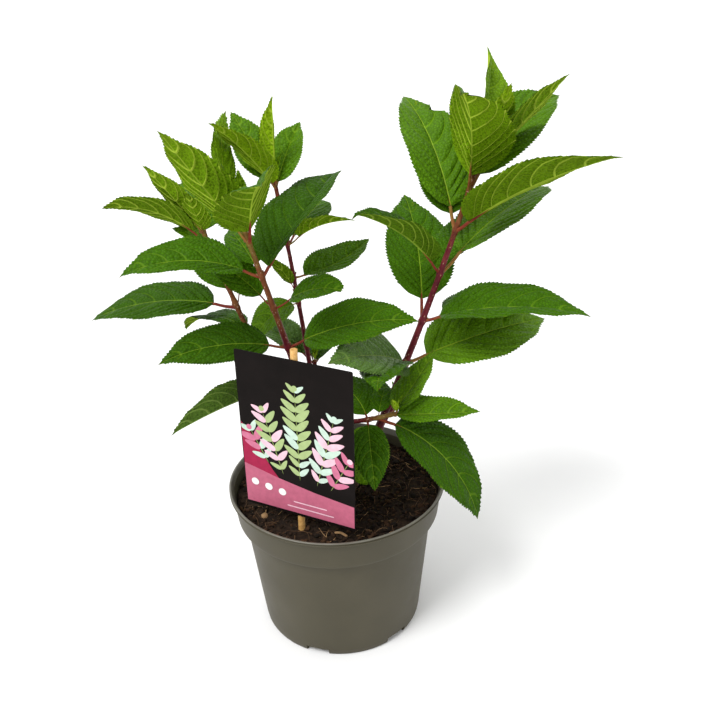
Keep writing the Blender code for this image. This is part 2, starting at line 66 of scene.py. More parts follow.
# Two beads of the lip, millimetres in from its radius and up from its bottom
LIP_BEADS = ((1.6, -0.2), (0.4, 0.1), (0.0, 0.5), (0.0, 1.0), (0.2, 1.3), (0.8, 1.6),
             (0.8, 1.9), (0.2, 2.2), (0.0, 2.6), (0.0, 3.1), (0.3, 3.5), (0.8, 3.7))
POT_FLOOR = 0.0075
POT_UNEVENNESS = 0.00012
AXIS = 0.0004  # radius of the innermost ring of a surface that closes on the pot's axis
POT_SEGMENTS = 216
NOTCHES = 6
NOTCH_WIDTH = 0.020
NOTCH_HEIGHT = 0.006
NOTCH_DEPTH = 0.007
FIRST_NOTCH = -110.0
NOTCH_CORNER = 0.35  # degrees that a notch's side takes

# Soil
SOIL_TOP = 0.128
SOIL_LEVEL = 0.1276  # its middle height, a little under its top
SOIL_SINKING = 0.0012  # how much lower it lies at the pot's wall
SOIL_LUMPS = ((0.00044, 21, 0.024), (0.00032, 22, 0.009), (0.000224, 23, 0.0038))  # height, seed and size
SOIL_RADIUS = 0.0889
SOIL_RINGS = 70
SOIL_SEGMENTS = 220
SOIL_SIDES = ((0.0866, 0.1120), (0.0812, 0.1100), (0.0640, 0.0085), (AXIS, 0.0085))  # radius and height
CLODS = 1500
CLOD_ROWS = 6
CLOD_SIDES = 8
CLOD_SIZE = 0.0023
CLOD_STRETCHES = ((0.7, 1.5), (0.7, 1.3), (0.5, 0.9))
CLOD_LUMPS = 0.22
CLOD_STANDING = 0.35  # share of its size by which a clod's middle is over the compost
FIBRES = 330
FIBRE_ROWS = 10
FIBRE_SIDES = 5
FIBRE_LENGTHS = (0.005, 0.020)
FIBRE_RADII = (0.00012, 0.00032)
FIBRE_ARCH = 0.0014
FIBRE_BEND = 1.6  # radians
# Larger bits on the compost: place, then length and radius of a straw, or size and finish of a chip
STRAWS = ((-0.061, -0.027, 0.024, 0.00055), (0.000, -0.070, 0.013, 0.0012))
CHIPS = ((-0.0627, -0.0368, 0.0026, "fibre_tan"), (0.0242, -0.0641, 0.0024, "fibre_brown"))

# Label card and the bamboo stick behind it
CARD_WIDTH = 0.0992
CARD_HEIGHT = 0.1430
CARD_THICKNESS = 0.0008
CARD_CENTRE = Vector((-0.0302, -0.0628, 0.2153))
CARD_YAW = math.radians(-27.3)
CARD_ROLL = math.radians(1.6)
CARD_LEAN = math.radians(1.15)
CARD_CORNER = 0.0013
CLOSED = 0.001  # share of an outline to which it shrinks where a flat face closes
INK_STEP = 0.00004  # how far each printed layer lies over the last
PRINT_MARGIN = 0.0007
OVAL_POINTS = 20
SPOT_POINTS = 28
SPRIG_STALK = 0.0011
SPRIG_TIP = 0.0024
LEAFLET = 0.0165
LEAFLET_SPACING = 0.0088
LEAFLET_TURNS = (0.75, 0.95)  # how far a leaflet stands off its stalk, radians
BAND_TOP = 0.0271 - CARD_HEIGHT / 2
# Printed panel and band: shares of the half width and heights over the band's top, then the colour
GROUNDS = (
    (((-1, -0.006), (-0.20, -0.004), (-0.46, 0.012), (-0.72, 0.032), (-0.86, 0.046), (-1, 0.052)),
     "ink_crimson"),
    (((-1, -0.0245), (1, -0.0245), (1, -0.004), (0.3, 0), (-0.4, 0.006), (-1, 0.013)), "ink_pink"),
)
# Places of the white spots, and widths and heights of the pale rules, from the band's top
SPOTS = ((-0.0400, -0.0035), (-0.0275, -0.0053), (-0.0150, -0.0071))
SPOT_RADIUS = 0.0034
RULES = ((0.030, -0.0137), (0.042, -0.0189))
# Printed sprigs: foot across and up the card, turn in radians, length and colours
SPRIGS = (
    (0.002, -0.036, 1.58, 0.084, ("ink_green", "ink_mint")),
    (0.017, -0.037, 1.32, 0.068, ("ink_mint", "ink_blush")),
    (-0.013, -0.034, 1.84, 0.060, ("ink_green", "ink_blush")),
    (0.029, -0.038, 1.08, 0.036, ("ink_blush", "ink_rose")),
    (-0.026, -0.026, 2.05, 0.034, ("ink_rose", "ink_mint")),
)
STICK_RADIUS = 0.0029
STICK_ROWS = 240
STICK_SIDES = 36
STICK_RINGS = ((0.05, 0.80, 0.0016), (-0.05, 0.775, 0.0010))  # share, place and reach of a swelling
STICK_GROOVES = ((0.022, 6, 0.7), (0.012, 11, 0.0))  # depth as a share, count and turn
STICK_ABOVE_CARD = 0.007
STICK_BELOW_CARD = 0.064
STICK_TOP_OFFSET = 0.0004
STICK_FOOT_OFFSET = -0.0018
GAP = 0.0003

# Studio
CAMERA_PLACE = (0.0, -0.597, 0.539)
CAMERA_LENS = 40.0  # millimetres, as is the sensor
CAMERA_SENSOR = 36.0
CAMERA_REACH = 200.0
CAMERA_TURNS = tuple(math.radians(angle) for angle in (2.3, 25.6, -1.9))  # pan, tilt down and roll
FLOOR_REACH = 60.0
SKY_LEVEL = 0.90
SKY_SLOPE = (0.0, 0.14, 0.16)  # how much brighter the sky is to the back and overhead
SUN_STRENGTH = 2.1
SUN_ANGLE = math.radians(24)
SUN_FROM = Vector((-0.55, -0.50, 1.0))

# Wood
FLARE_ROWS = 40
FLARE_SIDES = 72
FLARE_RADIUS = 0.0200
FLARE_HEIGHT = 0.016
FLARE_CENTRE = (-0.002, 0.003, 0.0)
# Shares of the flare's radius and height, from its buried rim to its top
FLARE_PROFILE = ((1.10, -0.25), (1.00, 0.02), (0.90, 0.22), (0.80, 0.42), (0.68, 0.62),
                 (0.54, 0.80), (0.38, 0.93), (0.18, 1.00), (0.01, 1.02))
FLARE_LUMPS = ((0.0011, 11, 0.013), (0.00035, 12, 0.0026))  # height, seed and size
STUB_SWELLING = 0.5
STUB_FOOT = -0.03  # share of a shoot by which its stub runs down into the flare
COLLAR_SWELLING = 0.45  # share by which a side shoot is thicker where it leaves its bough
COLLAR_REACH = 0.0032
ROW_STEP = 0.00065  # spacing of the rows along a shoot
BARK_SIDES = 24
# A joint's swelling, the groove over it and its scar line: share of the radius, height and reach
JOINT_RINGS = ((0.30, 0.0, 0.0024), (-0.07, 0.0013, 0.00045), (0.08, 0.0021, 0.0005))
BARK_RIBS = ((0.035, 5, 1.3), (0.02, 9, 0.0))  # share of the radius, count and turn
FLAKE_SIZE = 0.0016
FLAKE_HEIGHTS = (0.00004, 0.00030)  # on any bark, and as much more on the oldest
TIP_DOME = 0.0018
LENTICEL_SPACING = 0.0021
LENTICEL_HEIGHT = 0.00016
LENTICEL_TALL = (0.0005, 0.0009)
LENTICEL_WIDE = (0.00028, 0.00042)
ROOTED = 0.0055  # how far a side shoot runs back into the bough that bears it
# Heights up to which a shoot's bark is burgundy and brown, with green above, and how far they merge
BARK_LIMITS = {
    "right": (0.350, 0.400, 0.006),
    "back": (0.385, 0.420, 0.006),
    "front_left": (0.292, 0.350, 0.006),
    "left": (0.240, 0.325, 0.006),
    "front_right": (0.2120, 0.2145, 0.001),
    "others": (0.245, 0.335, 0.006),
}

# Leaves
BLADE_BASE_POWER = 0.55
BLADE_TIP_POWER = 0.95
DRAWN_FROM = 0.80  # share of the blade past which its tip is drawn out thin
DRAWN_SHARE = 0.42
BLADE_THICKNESS = 0.00036
# Least length of a blade in millimetres, with its side veins, columns across a half, and teeth
BLADE_GRIDS = ((80, (7, 15, 38)), (40, (6, 12, 26)), (0, (4, 7, 13)))
HOOK_START = 0.90  # share of the blade at which its middle line bends into a hooked tip
LINE_STEPS = 240
FAN_POWER = 0.34  # a row that leaves the rib at a share meets the margin at this power of it
RIB_SPANS = (0.19, 0.90)  # square roots of the shares of the rib where the first and last veins leave
VEIN_SWEEP = 0.66  # how much of a vein's way towards the tip it makes late
VEIN_HALF = 0.00042
VEIN_GROOVE = 0.00020
VEIN_RIDGE = 0.00048
RUNG_RIDGE = 0.00014
RIB_SHARE = 0.03
# Values at a blade's foot and tip, for a blade of full size
LEAST_HALF = (0.0012, 0.00015)
RIB_HALF = (0.00058, 0.00016)
RIB_HEIGHT = (0.00092, 0.00012)
LAST_LINES = (0.84, 0.91)  # shares past which the top and the underside show no side veins
TIP_START = 0.960
QUILT_HEIGHT = 0.0016
QUILT_POWER = 0.65  # below 1 for full bulges with narrow creases between them
WAVE_COUNTS = (1.8, 2.8)
WAVE_SHARE = 0.011  # height of the margin's waves, as a share of the blade's length
CRINKLE_SIZE = 0.0062
CRINKLE_HEIGHT = 0.00016
TORN_SHARE = 0.012  # how uneven a torn end is, as a share of the blade's length
TOOTH = 0.0014
TOOTH_START = 0.10  # share of the margin below which it is plain
RUNG_LENGTH = 40  # millimetres; shorter blades have no raised rungs
RUNG_HALF = 0.00016
RUNG_SPACING = 0.0024
RUNG_SLANT = 0.075  # how far a rung leans back towards the rib, share of the half width
RUNG_LIMITS = (0.12, 0.975)  # shares of the margin at which the first and last rungs stand
RUNG_EDGE = 0.93  # share of the half width that the rungs reach
STALK_RADIUS = 0.00115
STALK_SIDES = 12
STALK_ROWS = 16
UNDER_ROWS = 10
STALK_UNDER = 0.16  # share of the blade under which the stalk runs on
UNDER_SHARES = (0.95, 0.12)  # how thick it is there, as shares of its plain radius
STALK_SAG = 0.05
STALK_FOOT = 0.55  # share by which it is thicker at the shoot
STALK_CHANNEL = 0.35  # depth of the channel on its top, as a share of its radius
LEAST_BEARING = 25  # millimetres; shorter leaves have no bud over the stalk
BUD_ROWS = 9
BUD_SIDES = 10
BUD_HEIGHT = 0.0034
BUD_RADIUS = 0.00085
BUD_OVER_STALK = 0.0016
# Leaves that unfold at a shoot's tip, and the smallest that clasp it: millimetres and degrees
BUD_LENGTHS = (14, 20)
BUD_RISES = (58, 76)
HEART_LEAVES = 3
HEART_LENGTHS = (9, 14)
HEART_RISES = (66, 84)
TIP_SETBACK = 0.004  # share of the shoot by which the smallest leaves stand back from its end
GOLDEN_ANGLE = 137.5
ZONES = ("top", "line", "rib", "under", "vein", "rung", "tip")


class Stem(NamedTuple):
    """A shoot from foot to tip, bowed sideways in the middle, millimetres."""

    foot: tuple
    tip: tuple
    bow: tuple
    foot_radius: float
    tip_radius: float


class Bite(NamedTuple):
    """A piece missing from a blade's margin: its place and reach along the blade, its side and depth."""

    place: float
    reach: float
    side: int
    depth: float


class Leaf(NamedTuple):
    """A leaf, from its joint's place along the shoot, 0 at the foot and 1 at the tip.

    Angles are degrees, length and stalk millimetres, and width a share of the length. The hook is how
    far the very tip is bent down, and kept is the share of the blade that is left on the tree.
    """

    place: float
    tone: str
    azimuth: float
    rise: float
    length: float
    droop: float = 25
    roll: float = 0
    width: float = 0.52
    fold: float = 10
    stalk: float = 15
    swing: float = 0
    hook: float = 10
    kept: float = 1.0
    bites: tuple = ()


class Mass(NamedTuple):
    """The foliage on one stretch of a shoot, with how many leaves its tip is unfolding."""

    stem: str
    start: float
    end: float
    leaves: tuple
    buds: int = 0


class Patch(NamedTuple):
    """A grid of points with a finish for each face, or one for all of them.

    The last column of a wrapped patch is joined to its first.
    """

    points: np.ndarray
    finishes: np.ndarray | str
    wrapped: bool = True


STEMS = {
    "front_left": Stem((-1, 0, 128), (-59, -33, 381), (1, 3, 0), 3.6, 1.7),
    "left": Stem((-14, 5, 128), (-98, 29, 364), (-2, 2, 0), 3.2, 1.5),
    "back": Stem((-8, 11, 128), (-38, 43, 396), (2, 0, 0), 2.6, 1.3),
    "right": Stem((13, 0, 128), (122, 17, 412), (5, 0, 0), 3.6, 1.7),
    "front_right": Stem((-14.6, -9.8, 203), (51, -36, 221), (-2, -2, -3), 2.4, 1.6),
    "low_left": Stem((-49.9, 16, 213), (-63, 18, 219), (0, 0, 0), 1.8, 1.3),
    "low_back": Stem((-16, 26.6, 222), (-14, 33, 238), (0, 0, 0), 1.8, 1.3),
    "low_right": Stem((39.8, 7, 182), (58, 32, 196), (0, 0, 0), 1.8, 1.3),
}

# The bright tone is painted light on leaves in shade, and the tone of shaded leaves is a painted sheen
MASSES = {
    "right_lower_foliage": Mass("right", 0.385, 0.610, (
        Leaf(0.41, "bright", 18, 12, 130, 20, 20, stalk=20, swing=15),
        Leaf(0.41, "shaded", 230, 35, 95, 30, -35, stalk=5, swing=-10),
        Leaf(0.41, "middle", 236, 22, 78, 25, 5, stalk=10, swing=30),
        Leaf(0.54, "middle", 85, 45, 115, 20, 10, stalk=20, swing=15),
        Leaf(0.54, "middle", 348, 17, 122, 30, 5, fold=15),
        Leaf(0.54, "middle", 30, 0, 95, 20, stalk=25),
    )),
    "right_upper_foliage": Mass("right", 0.610, 0.860, (
        Leaf(0.68, "dark", 206, 53, 85, 35, fold=30, swing=-7, hook=70),
        Leaf(0.68, "fresh", 30, 35, 125, 40, -5, stalk=25, swing=20),
        Leaf(0.68, "middle", 60, 30, 65, 20),
        Leaf(0.80, "fresh", 109, 63, 118, 45, 5, fold=15, stalk=20, bites=(Bite(0.76, 0.035, 1, 0.38),)),
        Leaf(0.80, "middle", 325, 38, 130, 20, -20, fold=15, swing=-5),
        Leaf(0.80, "middle", 100, 50, 85, 15),
    )),
    "right_top_foliage": Mass("right", 0.860, 1.0, (
        Leaf(0.91, "fresh", 264, 62, 102, 32, -25, width=0.60, fold=30, swing=-20, hook=60,
             bites=(Bite(0.90, 0.025, -1, 0.7),)),
        Leaf(0.91, "fresh", 36, 48, 108, 40, 20, fold=20),
        Leaf(0.96, "fresh", 342, 48, 88, 0, -20, stalk=10),
        Leaf(0.96, "young", 65, 50, 105, 5, 60, width=0.45, fold=30, stalk=10, swing=20),
        Leaf(0.96, "young", 300, 56, 72, -15, fold=5, stalk=5),
    ), 2),
    "front_left_lower_foliage": Mass("front_left", 0.530, 0.780, (
        Leaf(0.58, "dark", 187, 14, 88, 30, -30, width=0.44, swing=15),
        Leaf(0.58, "middle", 349, 27, 94, 30, 23),
        Leaf(0.72, "middle", 330, 35, 55, 40, 25, stalk=20, swing=-10, kept=0.90,
             bites=(Bite(0.86, 0.05, 1, 0.55), Bite(0.97, 0.06, -1, 0.7))),
        Leaf(0.72, "middle", 150, 40, 55, 25, -25),
    )),
    "front_left_upper_foliage": Mass("front_left", 0.780, 0.905, (
        Leaf(0.83, "middle", 190, 27, 92, 48, -15, fold=15),
        Leaf(0.83, "dark", 46, 40, 126, 35, -15, fold=25, stalk=10, swing=28),
        Leaf(0.83, "middle", 115, 25, 55, 20),
    )),
    "front_left_top_foliage": Mass("front_left", 0.905, 1.0, (
        Leaf(0.94, "middle", 282, 52, 101, 41, 28, fold=20),
        Leaf(0.94, "fresh", 209, 57, 88, 0, 30, fold=15, stalk=16),
        Leaf(0.98, "young", 116, 37, 104, 0, 60, width=0.30, fold=5, swing=-38),
        Leaf(0.98, "fresh", 200, 75, 55, 0, width=0.35, stalk=5),
        Leaf(0.98, "fresh", 170, 65, 60, 0, width=0.35, stalk=5),
        Leaf(0.98, "young", 75, 85, 40, -15, width=0.35, stalk=5),
    ), 2),
    "left_lower_foliage": Mass("left", 0.610, 0.880, (
        Leaf(0.62, "middle", 145, 25, 75, 75, 10, width=0.55, fold=5, stalk=5),
        Leaf(0.71, "dark", 169, 8, 112, 33, -10, fold=5, stalk=20, swing=5),
        Leaf(0.71, "middle", 80, 45, 42, 10, -15),
        Leaf(0.73, "middle", 120, 30, 75, 20),
    )),
    "left_top_foliage": Mass("left", 0.880, 1.0, (
        Leaf(0.94, "middle", 178, 42, 75, 50, 40),
        Leaf(0.94, "fresh", 105, 30, 80, 20),
        Leaf(0.94, "fresh", 155, 25, 30, 20, -15, stalk=5),
        Leaf(0.97, "fresh", 202, 58, 62, 5, 35, stalk=10, swing=-10),
        Leaf(0.97, "fresh", 250, 60, 40, 0, 5, stalk=5, swing=10),
    ), 2),
    "back_lower_foliage": Mass("back", 0.610, 0.880, (
        Leaf(0.62, "bright", 205, -5, 50, 60, -10, width=0.70, stalk=5),
        Leaf(0.65, "middle", 210, 65, 35, 25, 45, width=0.35, stalk=10),
        Leaf(0.70, "fresh", 30, 0, 75, -25, 10, fold=20, stalk=10, swing=15),
        Leaf(0.80, "fresh", 326, 37, 55, 35, -20, fold=20, swing=12),
        Leaf(0.80, "middle", 70, 15, 80, 15),
    )),
    "back_top_foliage": Mass("back", 0.880, 1.0, (
        Leaf(0.95, "fresh", 100, 30, 55, 25),
        Leaf(0.97, "young", 215, 56, 75, 20, 15, width=0.45, fold=15, stalk=6, swing=5),
        Leaf(0.97, "fresh", 130, 48, 68, 5, -15, stalk=9),
        Leaf(0.97, "young", 295, 90, 63, 10, 20, width=0.35, fold=40, stalk=10, swing=5),
        Leaf(0.97, "fresh", 60, 56, 57, 20, 15, fold=20, stalk=6),
    ), 2),
    "front_right_foliage": Mass("front_right", 0.550, 1.0, (
        Leaf(0.67, "middle", 105, 25, 70, 40, -10, fold=5, stalk=5, swing=40),
        Leaf(0.67, "bright", 260, -45, 60, 80, -10, width=0.60, stalk=5, swing=20),
        Leaf(0.67, "dark", 270, -30, 55, 45, 10, stalk=5, swing=10),
        Leaf(0.79, "dark", 345, -20, 110, 55, 10, fold=5, swing=-20),
        Leaf(0.79, "middle", 75, 30, 35, 25, stalk=5),
        Leaf(0.93, "bright", 35, 35, 60, -15, -5, stalk=5),
        Leaf(0.93, "fresh", 349, 3, 67, -5, 10, fold=20, stalk=5),
    ), 2),
    "low_left_foliage": Mass("low_left", 0.0, 1.0, (
        Leaf(0.80, "shaded", 235, 15, 90, 35, 50, fold=30, stalk=5, swing=-30),
        Leaf(0.80, "dark", 100, 5, 55, 30, stalk=10),
    ), 1),
    "low_back_foliage": Mass("low_back", 0.0, 1.0, (
        Leaf(0.85, "shaded", 140, 30, 65, 45, -20, fold=35, swing=-15),
        Leaf(0.85, "dark", 55, 25, 60, 40, -20, fold=15, stalk=5),
        Leaf(0.85, "dark", 100, 5, 60, 30),
    ), 1),
    "low_right_foliage": Mass("low_right", 0.0, 1.0, (
        Leaf(0.75, "dark", 85, -5, 65, 30),
        Leaf(0.75, "middle", 30, -10, 60, 25),
    ), 1),
}

# Bare stretches of the shoots up to the foliage; one that starts at 0 grows on a neighbouring bough
BOUGHS = {
    "front_left_bough": ("front_left", 0.085, 0.530),
    "left_bough": ("left", 0.090, 0.610),
    "back_bough": ("back", 0.080, 0.610),
    "right_bough": ("right", 0.075, 0.385),
    "front_right_bough": ("front_right", 0.0, 0.550),
}
BARE_JOINTS = {
    "front_left": (0.14, 0.30, 0.44),
    "left": (0.15, 0.32, 0.47),
    "back": (0.16, 0.34, 0.48),
    "right": (0.13, 0.28),
    "front_right": (0.20, 0.42),
}

# Colours of each tone's zones, in the order of ZONES, linear
TONES = {
    # Leaves that lie in shade: colours greyed and blued by a painted sheen
    "shaded": (
        (0.098, 0.200, 0.0280), (0.130, 0.230, 0.0360), (0.22, 0.32, 0.060), (0.060, 0.120, 0.0120),
        (0.180, 0.280, 0.050), (0.105, 0.185, 0.022), (0.090, 0.055, 0.012),
    ),
    "dark": (
        (0.037, 0.106, 0.0015), (0.068, 0.145, 0.0050), (0.16, 0.26, 0.018), (0.060, 0.122, 0.0040),
        (0.200, 0.300, 0.028), (0.115, 0.195, 0.011), (0.090, 0.055, 0.010),
    ),
    "middle": (
        (0.054, 0.150, 0.0015), (0.088, 0.190, 0.0050), (0.19, 0.31, 0.018), (0.078, 0.150, 0.0030),
        (0.270, 0.380, 0.032), (0.155, 0.250, 0.011), (0.100, 0.065, 0.012),
    ),
    "fresh": (
        (0.084, 0.205, 0.0020), (0.120, 0.245, 0.0060), (0.23, 0.36, 0.018), (0.108, 0.204, 0.0030),
        (0.330, 0.450, 0.038), (0.205, 0.320, 0.012), (0.110, 0.080, 0.014),
    ),
    # A lit copy of the leaf colours: painted light on leaves that lie in the shade of others
    "bright": (
        (0.115, 0.255, 0.0050), (0.148, 0.290, 0.0090), (0.25, 0.38, 0.022), (0.120, 0.225, 0.0040),
        (0.340, 0.460, 0.040), (0.215, 0.335, 0.013), (0.115, 0.085, 0.014),
    ),
    "young": (
        (0.165, 0.320, 0.0060), (0.200, 0.350, 0.0110), (0.30, 0.44, 0.025), (0.200, 0.340, 0.0070),
        (0.370, 0.500, 0.042), (0.290, 0.440, 0.015), (0.120, 0.090, 0.016),
    ),
}
LEAF_GLOSS = {"shaded": 0.30, "dark": 0.06, "middle": 0.06, "fresh": 0.10, "bright": 0.10, "young": 0.06}
UNDER_GLOSS_SHARE = 0.4
TOP_ROUGHNESS = 0.48
UNDER_ROUGHNESS = 0.64
ROUGHNESS_SPREAD = 0.08
ROSY_STALKED = ("fresh", "bright", "young")
LEAF_MOTTLE = 75.0
LEAF_SPREAD = 0.18  # how much darker and lighter the mottling is
NET_MOTTLE = 90.0
NET_SPREAD = 0.15
NET_SCALE = 410.0  # meshes of the finest veins to a metre
NET_DEPTH = 0.0012
TOP_LINE_SHARE = 0.64  # brightness of the net's lines on the top, as a share of the blade's: painted shade in its creases
UNDER_LINE_SHARE = 1.45
MIX_SHARE, MIX_FROM, MIX_TO, MIX_RESULT = 0, 6, 7, 2  # a mix node's sockets for colours

# Reliefs: grain, scale and depth in metres
BARK_GRAIN = ("streaks", 1500.0, 0.00012)
SKIN_GRAIN = ("noise", 1200.0, 0.00006)
LEAF_GRAIN = ("noise", 900.0, 0.00005)
CRUMB_GRAIN = ("noise", 900.0, 0.0004)
PAPER_GRAIN = ("noise", 2500.0, 0.00001)
PLASTIC_GRAIN = ("noise", 1400.0, 0.00003)
BAMBOO_GRAIN = ("streaks", 1800.0, 0.00012)
FLOOR_GRAIN = ("noise", 40.0, 0.0001)

# Mottled colours, scale of the mottling, roughness, relief and gloss of every plain finish
FINISHES = {
    "bark_old": (((0.055, 0.032, 0.020), (0.110, 0.066, 0.042), (0.17, 0.115, 0.08)),
                 160.0, 0.75, BARK_GRAIN, 0.30),
    "bark_burgundy": (((0.070, 0.006, 0.010), (0.120, 0.010, 0.018), (0.17, 0.025, 0.024)),
                      150.0, 0.42, BARK_GRAIN, 0.16),
    "bark_brown": (((0.100, 0.026, 0.010), (0.155, 0.048, 0.016), (0.21, 0.082, 0.028)),
                   150.0, 0.55, BARK_GRAIN, 0.12),
    "bark_green": (((0.125, 0.066, 0.016), (0.175, 0.105, 0.024), (0.20, 0.15, 0.034)),
                   150.0, 0.52, BARK_GRAIN, 0.12),
    "lenticel": (((0.306, 0.170, 0.1105), (0.36, 0.20, 0.13), (0.414, 0.230, 0.1495)),
                 300.0, 0.70, SKIN_GRAIN, 0.30),
    "stalk_red": (((0.15, 0.014, 0.014), (0.21, 0.036, 0.020), (0.25, 0.090, 0.026)),
                  120.0, 0.50, SKIN_GRAIN, 0.12),
    "stalk_rosy": (((0.26, 0.070, 0.028), (0.28, 0.130, 0.032), (0.25, 0.210, 0.036)),
                   120.0, 0.50, SKIN_GRAIN, 0.12),
    "bud": (((0.130, 0.045, 0.022), (0.200, 0.080, 0.035), (0.20, 0.16, 0.05)),
            400.0, 0.55, SKIN_GRAIN, 0.30),
    "pot_plastic": (((0.055, 0.048, 0.0280), (0.063, 0.0555, 0.0330), (0.073, 0.064, 0.0390)),
                    18.0, 0.50, PLASTIC_GRAIN, 0.26),
    # Paler colour of the lip's top: a painted highlight, on a glossier finish
    "pot_lip_highlight": (((0.100, 0.092, 0.070), (0.130, 0.121, 0.096), (0.150, 0.142, 0.116)),
                 60.0, 0.34, PLASTIC_GRAIN, 0.45),
    "peat": (((0.008, 0.005, 0.003), (0.019, 0.011, 0.007), (0.036, 0.021, 0.012)),
             240.0, 0.92, CRUMB_GRAIN, 0.12),
    "peat_brown": (((0.022, 0.011, 0.006), (0.046, 0.023, 0.012), (0.075, 0.040, 0.020)),
                   300.0, 0.92, CRUMB_GRAIN, 0.12),
    "peat_black": (((0.006, 0.004, 0.003), (0.014, 0.010, 0.007)), 300.0, 0.90, CRUMB_GRAIN, 0.12),
    "fibre_brown": (((0.060, 0.028, 0.012), (0.130, 0.068, 0.030)), 300.0, 0.80, CRUMB_GRAIN, 0.30),
    "fibre_tan": (((0.22, 0.12, 0.052), (0.38, 0.23, 0.11)), 300.0, 0.75, CRUMB_GRAIN, 0.30),
    "bamboo": (((0.50, 0.25, 0.075), (0.70, 0.40, 0.130), (0.80, 0.52, 0.200)),
               260.0, 0.55, BAMBOO_GRAIN, 0.30),
    "card_dark": (((0.005, 0.0035, 0.003), (0.008, 0.0055, 0.005)), 60.0, 0.45, PAPER_GRAIN, 0.06),
}
FLOOR_LOOK = (((0.86, 0.86, 0.86), (0.90, 0.90, 0.90)), 3.0, 0.7, FLOOR_GRAIN, 0.3)
INK_SPREAD = 0.10
INK_LOOK = (220.0, 0.40, PAPER_GRAIN, 0.12)
INKS = {
    "ink_crimson": (0.32, 0.012, 0.055),
    "ink_pink": (0.45, 0.112, 0.180),
    "ink_green": (0.36, 0.46, 0.20),
    "ink_white": (0.80, 0.80, 0.78),
    "ink_mint": (0.52, 0.66, 0.56),
    "ink_blush": (0.78, 0.50, 0.58),
    "ink_rose": (0.55, 0.16, 0.26),
    "ink_stalk": (0.20, 0.26, 0.08),
}


# --- Finishes ---


def add_node(tree, kind, inputs=None, **settings):
    """A node with its settings and inputs; an input given as another node's output is linked to it."""
    node = tree.nodes.new(kind)
    for key, value in settings.items():
        setattr(node, key, value)
    for key, value in (inputs or {}).items():
        if isinstance(value, bpy.types.NodeSocket):
            tree.links.new(value, node.inputs[key])
        else:
            node.inputs[key].default_value = value
    return node


def mottled_colour(tree, place, colours, scale):
    """Colours blended by a soft noise of the given scale."""
    inputs = {"Scale": scale, "Detail": 4.0, "Roughness": 0.6, "Vector": place}
    noise = add_node(tree, "ShaderNodeTexNoise", inputs)
    ramp = add_node(tree, "ShaderNodeValToRGB", {"Fac": noise.outputs["Fac"]})
    steps = ramp.color_ramp.elements
    while len(steps) < len(colours):
        steps.new(0.5)
    for index, colour in enumerate(colours):
        steps[index].position = 0.30 + 0.40 * index / (len(colours) - 1)
        steps[index].color = (*colour, 1.0)
    return ramp.outputs["Color"]


def uneven_roughness(tree, place, roughness, scale):
    """Roughness that wanders a little round its middle value."""
    noise = add_node(tree, "ShaderNodeTexNoise", {"Scale": scale, "Detail": 3.0, "Vector": place})
    limits = {"To Min": roughness - ROUGHNESS_SPREAD, "To Max": roughness + ROUGHNESS_SPREAD}
    limits["Value"] = noise.outputs["Fac"]
    return add_node(tree, "ShaderNodeMapRange", limits).outputs["Result"]


def fine_relief(tree, place, grain, scale, depth):
    """A bump of a grain ('noise', 'cushions' or 'streaks') with its scale and its depth in metres."""
    if grain == "streaks":
        squeeze = {"Scale": (1.0, 1.0, 0.06), "Vector": place}
        place = add_node(tree, "ShaderNodeMapping", squeeze).outputs["Vector"]
    if grain == "cushions":
        cells = {"Scale": scale, "Smoothness": 0.35, "Randomness": 0.9, "Vector": place}
        cell = add_node(tree, "ShaderNodeTexVoronoi", cells, feature="SMOOTH_F1")
        height = cell.outputs["Distance"]
    else:
        grains = {"Scale": scale, "Detail": 5.0, "Roughness": 0.62, "Vector": place}
        height = add_node(tree, "ShaderNodeTexNoise", grains).outputs["Fac"]
    bumps = {"Distance": depth, "Height": height}
    return add_node(tree, "ShaderNodeBump", bumps, invert=grain == "cushions").outputs["Normal"]


def make_finish(name, colours, scale, roughness, relief, gloss):
    """A procedural finish: mottled colour, uneven roughness and fine relief."""
    made = bpy.data.materials.new(name)
    made.use_nodes = True
    tree = made.node_tree
    shader = tree.nodes["Principled BSDF"]
    place = add_node(tree, "ShaderNodeTexCoord").outputs["Object"]
    tree.links.new(mottled_colour(tree, place, colours, scale), shader.inputs["Base Color"])
    tree.links.new(uneven_roughness(tree, place, roughness, scale * 4), shader.inputs["Roughness"])
    tree.links.new(fine_relief(tree, place, *relief), shader.inputs["Normal"])
    shader.inputs["Specular IOR Level"].default_value = gloss
    return made


def shades(colour, spread):
    """A darker, the plain and a lighter shade of a colour."""
    return tuple(tuple(channel * share for channel in colour) for share in (1 - spread, 1.0, 1 + spread))


def net_colour(tree, place, colour, line_share):
    """Mottled shades of a leaf's colour, crossed by the net of its finest veins in a share of it."""
    body = mottled_colour(tree, place, shades(colour, NET_SPREAD), NET_MOTTLE)
    cells = {"Scale": NET_SCALE, "Randomness": 0.9, "Vector": place}
    net = add_node(tree, "ShaderNodeTexVoronoi", cells, feature="DISTANCE_TO_EDGE")
    limits = {"From Min": 0.02, "From Max": 0.16, "To Min": 1.0, "To Max": 0.0}
    limits["Value"] = net.outputs["Distance"]
    line = add_node(tree, "ShaderNodeMapRange", limits)
    drawn = tuple(channel * line_share for channel in colour)
    mixed = {MIX_TO: (*drawn, 1.0), MIX_SHARE: line.outputs["Result"], MIX_FROM: body}
    return add_node(tree, "ShaderNodeMix", mixed, data_type="RGBA").outputs[MIX_RESULT]


